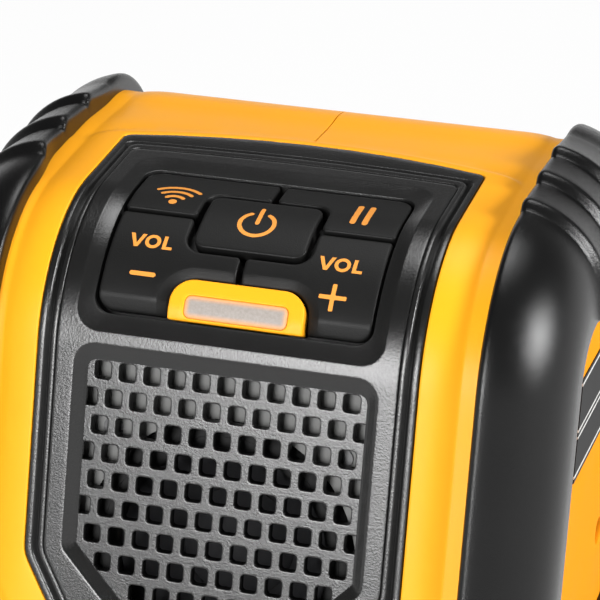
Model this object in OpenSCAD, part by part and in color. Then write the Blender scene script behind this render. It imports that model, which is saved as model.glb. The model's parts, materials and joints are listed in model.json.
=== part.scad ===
// Jobsite wireless speaker with a battery bay, built as separate moulded, turned and bought-in pieces.
// Millimetres, +Z up, the front faces -Y. The origin is on the floor, in the middle of the footprint.
// d is a distance out from the body's skin (negative is inside), s a length along the skin from
// where the flat top ends, and v a height on the leaning front face from where that face begins.

/* [Body] */
// Depth of the yellow body, from its rear face to its foremost point
body_d = 155; // [150:1:162]
// Length of the flat, leaning front face
face_len = 88; // [86:0.5:90]
// Radius between the top and the front face
top_front_r = 40; // [38:0.5:42]
// Radius between the top and the rear face
top_rear_r = 30; // [28:0.5:34]
// Radius of the lower front and lower rear corners
foot_r = 31; // [30:0.5:34]
// Height of the body's underside above the floor
stand_h = 2; // [1.5:0.1:2.5]
// Half width of the yellow side faces
side_x = 81; // [80.5:0.1:82]
// Half width of the raised yellow rails beside the front panel
rail_x = 60; // [58:0.5:60.5]
// Height of the raised yellow frame round the front panel
rail_h = 0.8; // [0.4:0.1:1.2]
// Width of that frame behind the panel
rail_back = 4.2; // [4:0.2:6]
// Wall of the two shells
wall = 3; // [2.5:0.1:3.4]
// Running gap between neighbouring mouldings
fit = 0.3; // [0.2:0.05:0.4]

/* [Bumpers] */
// Half width over the smooth stretches of the two bumpers
bumper_x = 84; // [83.5:0.1:85]
// Radius of a bumper's rounded outer edge
bumper_r = 24; // [23.5:0.1:24.5]
// Thickness of the bumper rubber
bumper_wall = 4; // [3.5:0.1:4.2]
// How far the bumpers stand out of the body
bumper_proud = 3.5; // [3:0.1:4]
// Half distance between the bumpers' inner flanks
flank_x = 63; // [62:0.2:64]
// Width of the bumper's flat band on the side faces
band_w = 5; // [4:0.5:6]
// Depth of the gutter between a rail and its bumper
gutter_h = 4; // [3:0.5:5]
// Number of overlapping ribs along the top of each bumper
rib_count = 3; // [1:1:3]
// Step at the front edge of a rib
rib_step = 2; // [1.5:0.1:2.5]
// Distance from rib to rib
rib_pitch = 17.8; // [16:0.1:18.5]
// Distance of the first rib behind the front of the flat top
rib_first = 10.2; // [8:0.2:14]

/* [Front panel] */
// Width of the dark front panel
panel_w = 97; // [94:1:100]
// Thickness of the front panel
panel_t = 3.5; // [3:0.1:4]
// How far the panel's rear edge reaches back over the flat top, in the middle
panel_back = 36; // [34:0.5:38]
// How much further forward that edge lies at its ends
panel_bow = 6.5; // [5:0.5:8]
// Corner radius at the panel's rear end
panel_corner = 5.5; // [5.5:0.5:9]
// Distance down the face to where the panel begins to narrow
panel_kink = 53.8; // [50:0.2:56]
// Lean of the panel's narrowing edges, in degrees
panel_taper = 29.6; // [26:0.2:32]
// Distance down the face to the panel's lower edge
panel_low = 89; // [86:0.5:90]
// Width of the lip around the panel
lip_w = 1.8; // [1.4:0.1:2.2]
// Width of the groove inside that lip
groove_w = 2; // [1.6:0.1:2.4]
// Depth of that groove
groove_h = 1.4; // [1:0.1:1.8]

/* [Grille] */
// Distance between grille holes in a row
hole_pitch = 6.4; // [6.2:0.05:6.6]
// Distance between rows of grille holes
row_pitch = 7.01; // [6.8:0.05:7.2]
// Number of rows
row_count = 11; // [8:1:11]
// Width of a grille hole
hole_w = 4.75; // [4.4:0.05:5]
// Height of a grille hole
hole_h = 4.95; // [4.6:0.05:5.2]
// Corner radius of a grille hole
hole_r = 1.2; // [0.8:0.1:1.5]
// Distance down the face to the first row
first_row = 5.5; // [5:0.1:6]
// Depth of the grille below the face
grille_sink = 2.5; // [2.2:0.1:2.8]
// Thickness of the grille
grille_t = 3; // [2.5:0.1:3.5]
// Half width of the grille window at the face
window_x = 39.4; // [38.5:0.1:40]
// Distance down the face to where the window begins to narrow
window_kink = 51.3; // [49:0.2:53]
// Lean of the window's narrowing edges, in degrees
window_taper = 44.5; // [42:0.5:46]
// Distance down the face to the window's lower edge
window_low = 80; // [78:0.5:81]
// Width of the sloping rim round the window
window_rim = 3.5; // [3:0.1:4]

/* [Keypad] */
// Half width of the hollow that the keys lie in
hollow_x = 39.4; // [38.5:0.1:40]
// Depth of that hollow's outer step
hollow_h = 1.6; // [1.2:0.1:2]
// Half width over the keys
keys_x = 35; // [34.5:0.1:35.5]
// How far the keys reach back over the flat top
keys_back = 10.6; // [10:0.2:11]
// Length of the keypad along the skin, in front of the flat top
keys_front = 41; // [40:0.2:42]
// Depth of the key tops below the skin
key_sink = 1; // [0.8:0.1:1.4]
// Thickness of a key cap
key_t = 3.5; // [3:0.1:4]
// Gap between neighbouring keys
key_gap = 1.7; // [1.5:0.1:2]
// Corner radius at the keypad's outer corners
key_corner = 4; // [3:0.5:5]
// Length along the skin to the gap between the upper keys and the volume keys
row_gap_s = 10.2; // [10:0.2:11]
// Half width of the power key
power_x = 14.5; // [14:0.1:15]
// Length along the skin of the power key
power_len = 20.4; // [19.4:0.2:21]
// Press of a key
key_travel = 0.8; // [0.6:0.1:1]
// Diameter of a key's guide stem
stem_d = 5; // [4.4:0.2:5.4]
// Half width of the light bar's yellow frame
bar_x = 17.3; // [16.5:0.1:18]
// Length along the skin to the top of that frame
bar_top_s = 29.6; // [29:0.1:30]
// Half width of the frosted lens
lens_x = 13; // [12:0.1:13.5]
// Height of the frosted lens
lens_h = 6.1; // [5.5:0.1:6.5]

/* [Loudspeaker] */
// Height of the driver's axis above the foot of the face
driver_up = 38; // [37:0.5:40]
// Radius of the round opening in the baffle
cone_r = 35.4; // [34.5:0.1:36]
// Radius of the driver's steel frame
basket_r = 45; // [44:0.2:46]
// Radius of the magnet
magnet_r = 30; // [28:0.5:32]
// Thickness of the magnet
magnet_t = 14; // [12:0.5:16]
// Depth of the cone
cone_h = 20; // [18:0.5:22]
// Radius of the voice coil
coil_r = 13; // [12:0.2:14]
// Throw of the cone to either side of rest
cone_throw = 1.5; // [1:0.1:2]
// Thickness of the baffle plate
baffle_t = 3; // [2.5:0.1:3.5]

/* [Rear] */
// Half width of the battery bay
bay_x = 38; // [36:0.5:40]
// Lower edge of the battery bay
bay_low = 35; // [34:0.5:37]
// Upper edge of the battery bay
bay_high = 90; // [88:0.5:91]
// Depth of the battery bay
bay_depth = 26; // [22:0.5:28]
// Half width of the socket panel
port_x = 26; // [25:0.5:28]
// Height of the socket panel's middle
port_z = 113; // [112.5:0.1:114]
// Half height of the socket panel
port_half_h = 9; // [8.5:0.1:9.5]
// Diameter of the flap's hinge pin
pin_d = 2; // [1.8:0.1:2.2]

/* [Hidden] */
$fn = 64;
eps = 0.01;
// Overlap of shapes that are joined into one piece
lap = 0.5;

yellow = "#f5a81c";
charcoal = "#3b3c3e";
black = "#1c1c1d";
steel = "#b9bcc0";
board_green = "#1f5a3c";
pale_grey = "#a9abad";

// The front face leans 7 in 24, so that its direction has the short exact parts 0.28 and 0.96
face_tilt = asin(7 / 25);

// Skin of the body: four corner arcs, as [y, z, radius], and the turn at which each begins and ends
toe = [-body_d / 2 + foot_r, stand_h + foot_r, foot_r];
heel = [body_d / 2 - foot_r, stand_h + foot_r, foot_r];
brow = [
    toe[0] + (top_front_r - foot_r) * cos(face_tilt) + face_len * sin(face_tilt),
    toe[1] - (top_front_r - foot_r) * sin(face_tilt) + face_len * cos(face_tilt), top_front_r
];
top_z = brow[1] + top_front_r;
crown = [body_d / 2 - top_rear_r, top_z - top_rear_r, top_rear_r];
face_turn = 180 - face_tilt;
corners = [crown, brow, toe, heel];
turns = [0, 90, face_turn, 270, 360];
face_start = [brow[0] - top_front_r * cos(face_tilt), brow[1] + top_front_r * sin(face_tilt)];
rear_y = body_d / 2;

// Bumper section, measured from the skin
round_x = bumper_x - bumper_r;
round_d = bumper_proud - bumper_r;
shoulder_r = bumper_r - bumper_wall - fit;
hook_x = flank_x + 2.2;
band_end = round_d - band_w;

// Keypad angles on the brow
key_r = top_front_r - key_sink;
keys_end = angle(keys_front);
hollow_back = keys_back + 6.9;
hollow_end = keys_end + 7.3;
opening_gap = 0.5;
upper_turn = 0;
power_turn = angle(power_len / 2 - 0.3);
volume_turn = 38;
bar_turn = angle((bar_top_s + keys_front) / 2);
frame_d = -(key_sink + key_t + 2.5);
frame_t = 1.5;
board_turn = 30;
board_r = top_front_r - 20.5;
board_t = 1.6;
switch_h = 3.5;
board_x = 36;
board_up = 20;
board_down = 13;
stem_gap = key_travel + fit;
stem_x = 25;

// Driver stations along its axis, as depths below the face
driver_v = face_len - driver_up;
baffle_at = panel_t + wall + 4 * fit;
baffle_x = basket_r + 2;
baffle_high = 1;
baffle_low = face_len + 9;
gasket_t = 1;
basket_at = baffle_at + baffle_t + gasket_t;
basket_t = 2;
yoke_at = basket_at + cone_h + 5 + 2 * cone_throw;
spider_at = yoke_at - 3;
plate_t = 4;
magnet_at = yoke_at - 1 + plate_t;
cone_top = basket_at + fit;
cone_foot = cone_top + cone_h - 4;
roll_out = 3.9;
roll_t = 0.8;
roll_r = cone_r - roll_out - 0.5;
driver_hole_d = 3;
driver_screw_d = 2.6;
driver_head_h = 2 * fit;

// Rear pieces
dock_wall = 2.5;
dock_y = rear_y - bay_depth;
flange_t = 2;
flange_w = 5;
block_w = 34;
block_h = 16;
block_low = bay_low + 18;
block_back = 8;
blade_pitch = 10;
blade_t = 1;
socket_depth = 12;
socket_y = rear_y - socket_depth;
socket_flange = 3;
socket_x = 15;
aux_r = 4;
inlet_r = 5;
usb_w = 14;
usb_h = 7;
flap_t = 2;
port_wall = 2;
pin_fit = 0.08;
barrel_r = pin_d / 2 + 0.8;
pin_y = rear_y + flange_t - 1.4;
pin_z = port_z + port_half_h - port_wall - barrel_r - fit;

// Electronics on the floor, and the screws
board_z = stand_h + wall + 6;
board_plan = [90, 64];
board_y = 6;
board_top = board_z + board_t;
screw_d = 3;
screw_head_d = 6.4;
screw_head_x = 14;
dock_screw_d = 2.4;
board_screw_d = 2;
radio_at = [-38, -14];
radio_size = [18, 26, 2.6];
sink_at = [6, -12];
sink_size = [30, 22, 3];
fin_pitch = 5.6;
fin_t = 2;
fin_h = 12;
can_d = 10;
can_h = 16;
plug_size = [10, 6, 7];
label_mid = [12.5, 99];
label_half = [27, 13];
label_drop = 2.5;

bosses = [
    [toe[0], toe[1] - 1], [heel[0] - 6, heel[1] + 3], [crown[0] - 5, crown[1] - 7],
    [brow[0] + 34, top_z - 34], [brow[0] + 36, brow[1] - 63]
];
boss_r = 5;

function angle(s) = s / key_r * 180 / PI;
function out(a) = [cos(a), sin(a)];
function skin_r(i, d) = max(corners[i][2] + d, 0.5);
function on_skin(i, a, d) = [corners[i][0], corners[i][1]] + skin_r(i, d) * out(a);

// Side outline of the body, grown by d
module outline(d) {
    polygon([for (i = [0:3]) each [on_skin(i, turns[i], d), on_skin(i, turns[i + 1], d)]]);
    for (i = [0:3]) translate([corners[i][0], corners[i][1]]) circle(skin_r(i, d));
}

// Lays a side view (y, z) out between two widths
module along_x(x0, x1) {
    translate([x0, 0, 0]) rotate([90, 0, 90]) linear_extrude(x1 - x0) children();
}

module skin(d_out, d_in, x0, x1) {
    along_x(x0, x1) difference() {
        outline(d_out);
        outline(d_in);
    }
}

// Carries a section, drawn as (d, x), once round the body. The two front bends and the face between
// them are joined in the frame of the face, where they meet on level planes.
module round_body() {
    far = 2 * body_d;
    rotate([90, 0, 90]) {
        intersection() {
            translate([toe[0], toe[1], 0]) rotate([0, 0, face_turn]) {
                keep(-far, 0, far, far) bend(foot_r, 270) children();
                keep(-far, -face_len, far, 0) straight(foot_r, -face_len - lap, lap) children();
                keep(-far, -far, far, -face_len) translate([foot_r - top_front_r, -face_len, 0])
                    bend(top_front_r, 90) children();
            }
            linear_extrude(2 * bumper_x) polygon([
                [brow[0], brow[1]], [brow[0], far], [-far, far],
                [-far, -far], [toe[0], -far], [toe[0], toe[1]]
            ]);
        }
        keep(toe[0], -far, heel[0], toe[1]) translate([toe[0], toe[1], 0]) rotate([0, 0, 270])
            straight(foot_r, -lap, heel[0] - toe[0] + lap) children();
        keep(heel[0], -far, far, heel[1]) translate([heel[0], heel[1], 0]) bend(foot_r, 90) children();
        keep(heel[0], heel[1], far, crown[1]) translate([heel[0], heel[1], 0])
            straight(foot_r, -lap, crown[1] - heel[1] + lap) children();
        keep(crown[0], crown[1], far, far) translate([crown[0], crown[1], 0])
            bend(top_rear_r, 180) children();
        keep(brow[0], crown[1], crown[0], far) translate([crown[0], crown[1], 0]) rotate([0, 0, 90])
            straight(top_rear_r, -lap, crown[0] - brow[0] + lap) children();
    }
}

// A section turned about Z, with its seam at a turn where it isn't kept
module bend(r, seam) {
    rotate([0, 0, seam]) rotate_extrude() translate([r, 0]) children();
}

// A section carried along Y
module straight(r, from, to) {
    translate([r, to, 0]) rotate([90, 0, 0]) linear_extrude(to - from) children();
}

// What lies in an upright column
module keep(x0, y0, x1, y1) {
    intersection() {
        linear_extrude(2 * bumper_x) polygon([[x0, y0], [x1, y0], [x1, y1], [x0, y1]]);
        children();
    }
}

// Frames on the skin: on the brow at a turn from upright, and on the leaning face
module on_brow(a) {
    translate([0, brow[0], brow[1]]) rotate([a, 0, 0]) children();
}

module on_face() {
    translate([0, face_start[0], face_start[1]]) rotate([90 - face_tilt, 0, 0]) children();
}

// A wide strip that ends at y = 0 with two rounded corners, and runs on between them
module bowed_strip(half_w, reach, r) {
    round_end(half_w, reach, r);
    translate([r - half_w, -reach]) square([2 * (half_w - r), 2 * reach]);
}

// A strip that ends at y = 0 with two rounded corners
module round_end(half_w, reach, r) {
    translate([-half_w, -reach]) square([2 * half_w, reach - r]);
    translate([-half_w + r, -reach]) square([2 * (half_w - r), reach]);
    for (side = [-1, 1]) translate([side * (half_w - r), -r]) circle(r);
}

module round_rect(w, h, r) {
    square([w - 2 * r, h], center = true);
    square([w, h - 2 * r], center = true);
    for (x = [-1, 1], y = [-1, 1]) translate([x * (w / 2 - r), y * (h / 2 - r)]) circle(r);
}

// Everything on the brow inside a rounded window
module brow_window(half_w, back, front_turn, r) {
    reach = 3 * top_front_r;
    intersection() {
        translate([0, brow[0] + back, brow[1] - top_front_r]) linear_extrude(3 * top_front_r)
            round_end(half_w, reach, r);
        on_brow(front_turn) translate([0, 0, -top_front_r]) linear_extrude(3 * top_front_r)
            mirror([0, 1]) round_end(half_w, reach, r);
    }
}

// Side view of a stretch of the brow between two lengths along the key tops
module stretch(s0, s1) {
    far = 3 * top_front_r;
    c = [brow[0], brow[1]];
    start = s0 < 0 ? [[c[0] - s0, c[1]], [c[0] - s0, c[1] + far]] : [];
    a0 = angle(max(s0, 0));
    a1 = angle(s1);
    polygon([
        c, each start, c + far * out(90 + a0), c + far * out(90 + (a0 + a1) / 2), c + far * out(90 + a1)
    ]);
}

module brow_block(s0, s1, x0, x1, d_out, d_in) {
    along_x(x0, x1) intersection() {
        difference() {
            outline(d_out);
            outline(d_in);
        }
        stretch(s0, s1);
    }
}

// Outline of the front panel, grown by g, as a space that runs through the front of the body
module panel_space(g) {
    bow_r = (pow(panel_w / 2, 2) + panel_bow * panel_bow) / (2 * panel_bow);
    half = panel_w / 2 + g;
    kink = panel_kink + g * tan(panel_taper / 2);
    low = panel_low + g;
    intersection() {
        translate([-panel_w, -body_d, stand_h + foot_r / 2]) cube([2 * panel_w, 2 * body_d, 2 * body_d]);
        translate([0, brow[0], brow[1] - body_d]) linear_extrude(2 * body_d) intersection() {
            translate([0, panel_back - bow_r]) circle(bow_r + g);
            translate([0, panel_back - panel_bow + 3 + g]) bowed_strip(half, body_d, panel_corner + g);
        }
        on_face() translate([0, 0, -body_d / 2]) linear_extrude(body_d) polygon([
            [half, body_d], [half, -kink], [half - (low - kink) * tan(panel_taper), -low],
            [-half + (low - kink) * tan(panel_taper), -low], [-half, -kink], [-half, body_d]
        ]);
    }
}

// Outline of the raised yellow frame round the panel
module rail_space() {
    side = rail_x - panel_w / 2;
    bow_r = (pow(panel_w / 2, 2) + panel_bow * panel_bow) / (2 * panel_bow);
    kink = panel_kink + side * tan(panel_taper / 2);
    low = panel_low + rail_back;
    foot = rail_x - (low - kink) * tan(panel_taper);
    intersection() {
        translate([0, brow[0], brow[1] - body_d]) linear_extrude(2 * body_d) intersection() {
            translate([0, panel_back - bow_r]) circle(bow_r + rail_back);
            translate([0, panel_back - panel_bow + 5]) bowed_strip(rail_x, body_d, panel_corner + 3);
        }
        on_face() translate([0, 0, -body_d / 2]) linear_extrude(body_d) polygon([
            [rail_x, body_d], [rail_x, -kink], [foot, -low],
            [-foot, -low], [-rail_x, -kink], [-rail_x, body_d]
        ]);
    }
}

// Outline of the grille window on the face, grown by g
module window_shape(g) {
    half = window_x + g;
    kink = window_kink + g * tan(window_taper / 2);
    low = window_low + g;
    foot = half - (low - kink) * tan(window_taper);
    high = -1.2 + g;
    cut = 3;
    polygon([[half, high - cut], [half - cut, high], [-half + cut, high], [-half, high - cut],
        [-half, -kink], [-foot, -low], [foot, -low], [half, -kink]]);
}

// One shell, on the +X side
module shell_body() {
    along_x(0, rail_x) outline(-rail_h);
    intersection() {
        skin(0, -wall, 0, rail_x);
        rail_space();
    }
    along_x(0, hook_x + fit + lap) outline(-gutter_h);
    along_x(0, round_x + shoulder_r - lap) outline(round_d - lap);
    along_x(0, side_x) outline(band_end - fit);
    round_body() shoulder(shoulder_r, hook_x + fit);
}

// Half of a rounded edge under or over the skin, with a straight side down to low
module edge_shape(r, low) {
    translate([round_d, round_x]) circle(r);
    translate([low, round_x]) square([round_d - low, r]);
}

// Section of the rounded shoulder under a bumper
module shoulder(r, from_x) {
    low = round_d - 2 * lap;
    intersection() {
        edge_shape(r, low);
        translate([low, from_x]) square([2 * r, 2 * r]);
    }
}

// Space inside the shells, stepped under the shoulders
module shell_hollow() {
    inner_r = shoulder_r - wall;
    along_x(-lap, rail_x - wall) outline(-wall);
    along_x(-lap, side_x - wall) outline(band_end - fit - wall);
    for (a = [0, 25, 40, 54])
        along_x(-lap, round_x + inner_r * cos(a)) outline(min(round_d + inner_r * sin(a), -gutter_h - wall));
}

module shell_half() {
    difference() {
        union() {
            difference() {
                shell_body();
                shell_hollow();
            }
            // seat of the front panel
            intersection() {
                skin(-wall + eps, -panel_t - fit - wall, 0, rail_x);
                panel_space(4);
            }
            for (b = bosses) translate([0, b[0], b[1]]) rotate([0, 90, 0])
                cylinder(r = boss_r, h = round_x + shoulder_r - 1);
            board_posts();
            baffle_grips();
        }
        intersection() {
            skin(10, -panel_t - fit, -1, rail_x);
            panel_space(fit);
        }
        intersection() {
            skin(10, -4 * wall, -1, rail_x);
            panel_space(-5);
        }
        dock_window();
        socket_window();
        for (p = dock_holes()) translate([p[0], rear_y + 1, p[1]]) rotate([90, 0, 0])
            cylinder(d = dock_screw_d + fit, h = 2 * wall);
    }
}

module board_posts() {
    x = board_plan[0] / 2 - 5;
    for (y = [-1, 1]) translate([x, board_y + y * (board_plan[1] / 2 - 5), stand_h + 1])
        cylinder(d = 7, h = board_z - stand_h - 1);
}

// Slotted ribs behind a rail, which hold the edge of the baffle plate
module baffle_grips() {
    x0 = baffle_x - 3;
    back = baffle_at + baffle_t + 4;
    for (v = [-1, 1]) on_face() translate([0, v * basket_r / 2 - driver_v, 0]) difference() {
        translate([x0, -1.25, -back]) cube([rail_x - wall + lap - x0, 2.5, back - wall + lap]);
        translate([x0 - 1, -2, -baffle_at - baffle_t - fit])
            cube([baffle_x + fit - x0 + 1, 4, baffle_t + 2 * fit]);
    }
}

module dock_window() {
    translate([-bay_x - dock_wall - fit, rear_y - 10, bay_low - dock_wall - fit])
        cube([2 * (bay_x + dock_wall + fit), 20, bay_high - bay_low + 2 * (dock_wall + fit)]);
}

module socket_window() {
    translate([-port_x - fit, rear_y - 10, port_z - port_half_h - fit])
        cube([2 * (port_x + fit), 20, 2 * (port_half_h + fit)]);
}

module screw_bore(r, x0, x1) {
    for (b = bosses) translate([x0, b[0], b[1]]) rotate([0, 90, 0]) cylinder(r = r, h = x1 - x0);
}

module right_shell() {
    color(yellow) difference() {
        shell_half();
        screw_bore(screw_head_d / 2 + fit, screw_head_x, side_x + 5);
        screw_bore(screw_d / 2 + fit, -1, screw_head_x + 1);
        post_bore();
    }
}

module left_shell() {
    color(yellow) difference() {
        mirror([1, 0, 0]) shell_half();
        screw_bore(screw_d / 2 + fit / 2, -20, 1);
        post_bore();
    }
}

module post_bore() {
    for (p = board_holes()) translate([p[0], p[1], board_z - 5]) cylinder(d = board_screw_d + fit, h = 6);
}

function board_holes() = [for (x = [-1, 1], y = [-1, 1])
    [x * (board_plan[0] / 2 - 5), board_y + y * (board_plan[1] / 2 - 5)]];

// Bumpers
module bumper_section() {
    difference() {
        intersection() {
            edge_shape(bumper_r, band_end);
            translate([band_end, flank_x]) square([2 * bumper_r, 2 * bumper_r]);
        }
        difference() {
            edge_shape(bumper_r - bumper_wall, band_end - lap);
            translate([-gutter_h + fit, flank_x - lap]) square([2 * gutter_h, hook_x - flank_x + lap]);
        }
    }
}

module rib(y) {
    axis_z = top_z + round_d;
    length = 0.92 * rib_pitch;
    side_low = axis_z - band_w;
    translate([0, y, 0]) {
        intersection() {
            translate([round_x, 0, axis_z]) rotate([-90, 0, 0]) difference() {
                cylinder(r1 = bumper_r + rib_step, r2 = bumper_r - 0.2, h = length);
                translate([0, 0, -1]) cylinder(r = bumper_r - 1, h = length + 2);
            }
            translate([flank_x, -1, axis_z]) cube([2 * bumper_r, length + 2, 2 * bumper_r]);
        }
        translate([0, 0, side_low]) linear_extrude(band_w) polygon([
            [bumper_x - 1, 0], [bumper_x + rib_step, 0], [bumper_x - 0.2, length], [bumper_x - 1, length]
        ]);
    }
}

module bumper() {
    color(black) difference() {
        union() {
            round_body() bumper_section();
            for (i = [0:rib_count - 1]) rib(brow[0] + rib_first + i * rib_pitch);
        }
        translate([0, -body_d, -20]) cube([2 * bumper_x, 2 * body_d, 20]);
    }
}

module right_bumper() { bumper(); }

module left_bumper() { mirror([1, 0, 0]) bumper(); }

// Front panel and grille
module front_bezel() {
    color(charcoal) difference() {
        intersection() {
            skin(0, -panel_t, -panel_w / 2, panel_w / 2);
            panel_space(0);
        }
        difference() {
            panel_space(-lip_w);
            panel_space(-lip_w - groove_w);
            along_x(-panel_w, panel_w) outline(-groove_h);
        }
        difference() {
            brow_window(hollow_x, hollow_back, hollow_end, key_corner + 3);
            along_x(-panel_w, panel_w) outline(-hollow_h);
        }
        brow_window(keys_x + opening_gap, keys_back + opening_gap,
            keys_end + angle(opening_gap), key_corner + 1);
        on_face() translate([0, 0, -grille_sink / 2]) linear_extrude(10) window_shape(-window_rim / 3);
        on_face() translate([0, 0, -10]) linear_extrude(20) window_shape(-window_rim);
        on_face() translate([0, 0, -10]) linear_extrude(10 - grille_sink) window_shape(fit);
    }
}

module grille_hole() { round_rect(hole_w, hole_h, hole_r); }

function row_shift(row) = row % 2 == 0 ? 0 : 0.5;
function row_reach(row) = let (v = first_row + row * row_pitch + hole_h / 2 + 1.2)
    min(window_x - hole_w / 2 + 0.3, window_x - 1.2 - hole_w / 2 - (v - window_kink) * tan(window_taper));

module speaker_grille() {
    color(charcoal) on_face() translate([0, 0, -grille_sink - grille_t]) linear_extrude(grille_t - 0.05)
        difference() {
            window_shape(0);
            for (row = [0:row_count - 1], k = [-6:6]) {
                x = (k + row_shift(row)) * hole_pitch;
                if (abs(x) <= row_reach(row))
                    translate([x, -first_row - row * row_pitch]) grille_hole();
            }
        }
}

// Keys: a cap on the brow, and a stem that slides in the key frame
module stem(a, x) {
    lean = a - board_turn;
    tip = (board_r + board_t + switch_h + stem_gap + stem_d / 2 * abs(sin(lean))) / cos(lean);
    on_brow(a) translate([x, 0, tip]) cylinder(d = stem_d, h = key_r - key_t / 2 - tip);
}

module cap(s0, s1, x0, x1) {
    intersection() {
        brow_block(s0, s1, x0, x1, -key_sink, -key_sink - key_t);
        brow_window(keys_x, keys_back, keys_end, key_corner);
    }
}

// Room that the power key needs in its neighbours
module power_room(g) {
    brow_block(-0.3 - g, power_len + g, -power_x - g, power_x + g, 1, -2 * key_sink - 2 * key_t);
}

module bar_shape(g) {
    half_h = (keys_front - bar_top_s) / 2;
    corner = 6 + g;
    translate([0, half_h + g]) round_end(bar_x + g, 3 * half_h, corner);
}

module bar_room(g) {
    on_brow(bar_turn) linear_extrude(2 * top_front_r) bar_shape(g);
}

module wireless_key() {
    color(black) {
        difference() {
            cap(-keys_back, row_gap_s - key_gap / 2, -keys_x, -key_gap / 2);
            power_room(key_gap);
        }
        stem(upper_turn, -stem_x);
    }
}

module pause_key() {
    color(black) {
        difference() {
            cap(-keys_back, row_gap_s - key_gap / 2, key_gap / 2, keys_x);
            power_room(key_gap);
        }
        stem(upper_turn, stem_x);
    }
}

module power_key() {
    color(black) {
        intersection() {
            skin(-key_sink, -key_sink - key_t, -power_x - lap, power_x + lap);
            on_brow(power_turn) linear_extrude(2 * top_front_r) round_rect(2 * power_x, power_len, 3);
        }
        stem(power_turn, 0);
    }
}

module volume_key(side) {
    x0 = side < 0 ? -keys_x : key_gap / 2;
    color(black) {
        difference() {
            cap(row_gap_s + key_gap / 2, keys_front, x0, x0 + keys_x - key_gap / 2);
            power_room(key_gap);
            bar_room(key_gap);
        }
        stem(volume_turn, side * stem_x);
    }
}

module volume_down_key() { volume_key(-1); }

module volume_up_key() { volume_key(1); }

// Light bar
module lens_shape(g) {
    translate([0, -1.4]) round_rect(2 * lens_x + 2 * g, lens_h + 2 * g, 1.2);
}

module light_bar_frame() {
    color(yellow) difference() {
        intersection() {
            along_x(-bar_x - 1, bar_x + 1) difference() {
                outline(-key_sink / 2);
                outline(frame_d + fit / 2);
            }
            bar_room(0);
            brow_window(keys_x, keys_back, keys_end, key_corner);
        }
        on_brow(bar_turn) linear_extrude(2 * top_front_r) lens_shape(fit / 2);
    }
}

module light_bar_lens() {
    tip = (board_r + board_t + 2) / cos(bar_turn - board_turn) + 3;
    color("#d9cdc8") intersection() {
        on_brow(bar_turn) translate([0, 0, tip]) linear_extrude(top_front_r) lens_shape(0);
        along_x(-lens_x - 1, lens_x + 1) outline(-key_sink / 2 - 0.6);
    }
}

// Guide trough under the keys
module key_frame() {
    back = keys_back + 3;
    front_turn = keys_end + angle(2.5);
    color(black) difference() {
        union() {
            intersection() {
                skin(frame_d, frame_d - frame_t, -keys_x - 3.4, keys_x + 3.4);
                brow_window(keys_x + 3.4, back, front_turn, 1);
            }
            for (x = [-1, 1], y = [-board_down + 4, board_up - 4]) intersection() {
                on_key_board() translate([x * (board_x - 3), y, board_t]) cylinder(d = 4, h = top_front_r);
                along_x(-board_x, board_x) outline(frame_d - frame_t / 2);
            }
            for (x = [-keys_x - 2.5, keys_x + 2.5]) intersection() {
                skin(-panel_t - fit / 2, frame_d - frame_t, x - 0.9, x + 0.9);
                brow_window(keys_x + 3.4, back, front_turn, 1);
            }
        }
        for (side = [-1, 1]) {
            stem_bore(upper_turn, side * stem_x);
            stem_bore(volume_turn, side * stem_x);
        }
        stem_bore(power_turn, 0);
        on_brow(bar_turn) linear_extrude(2 * top_front_r) lens_shape(fit);
    }
}

module stem_bore(a, x) {
    on_brow(a) translate([x, 0, 0]) cylinder(d = stem_d + 2 * fit, h = 2 * top_front_r);
}

module on_key_board() {
    on_brow(board_turn) translate([0, 0, board_r]) children();
}

module key_board() {
    color(board_green) on_key_board() translate([-board_x, -board_down, 0])
        cube([2 * board_x, board_up + board_down, board_t]);
}

function stem_spot(a) = (board_r + board_t + switch_h) * tan(board_turn - a);

module key_switches() {
    color(steel) on_key_board() {
        for (side = [-1, 1]) {
            switch(side * stem_x, stem_spot(upper_turn));
            switch(side * stem_x, stem_spot(volume_turn));
        }
        switch(0, stem_spot(power_turn));
    }
}

module switch(x, y) {
    translate([x, y, board_t + switch_h / 2 - 0.4]) cube([6, 6, switch_h - 0.8], center = true);
    translate([x, y, board_t + switch_h - 0.9]) cylinder(d = 3.4, h = 0.9);
}

module board_leds() {
    color("white") on_key_board() {
        y = (board_r + board_t) * tan(board_turn - bar_turn);
        for (x = [-8, 0, 8]) translate([x - 1.5, y - 1, board_t]) cube([3, 2, 1.2]);
        for (x = [-16, 16], yy = [2, 8]) translate([x - 1, yy - 1, board_t]) cube([2, 2, 1]);
    }
}

// Loudspeaker, drawn on its own axis with depth below the face as -Z
module on_driver() {
    on_face() translate([0, -driver_v, 0]) children();
}

module turned(points) {
    rotate_extrude() polygon(points);
}

module baffle_plate() {
    color(pale_grey) on_face() translate([0, 0, -baffle_at - baffle_t]) linear_extrude(baffle_t)
        difference() {
            translate([0, (baffle_high - baffle_low) / 2])
                round_rect(2 * baffle_x, baffle_low + baffle_high, 10);
            translate([0, -driver_v]) {
                circle(cone_r);
                driver_bores();
            }
        }
}

function driver_holes() = [for (a = [45:90:315]) (basket_r - 2.8) * out(a)];

module driver_bores() {
    for (p = driver_holes()) translate(p) circle(d = driver_hole_d);
}

module driver_gasket() {
    color(black) on_driver() translate([0, 0, -basket_at]) linear_extrude(gasket_t) difference() {
        circle(basket_r);
        circle(cone_r + 4);
        driver_bores();
    }
}

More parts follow.
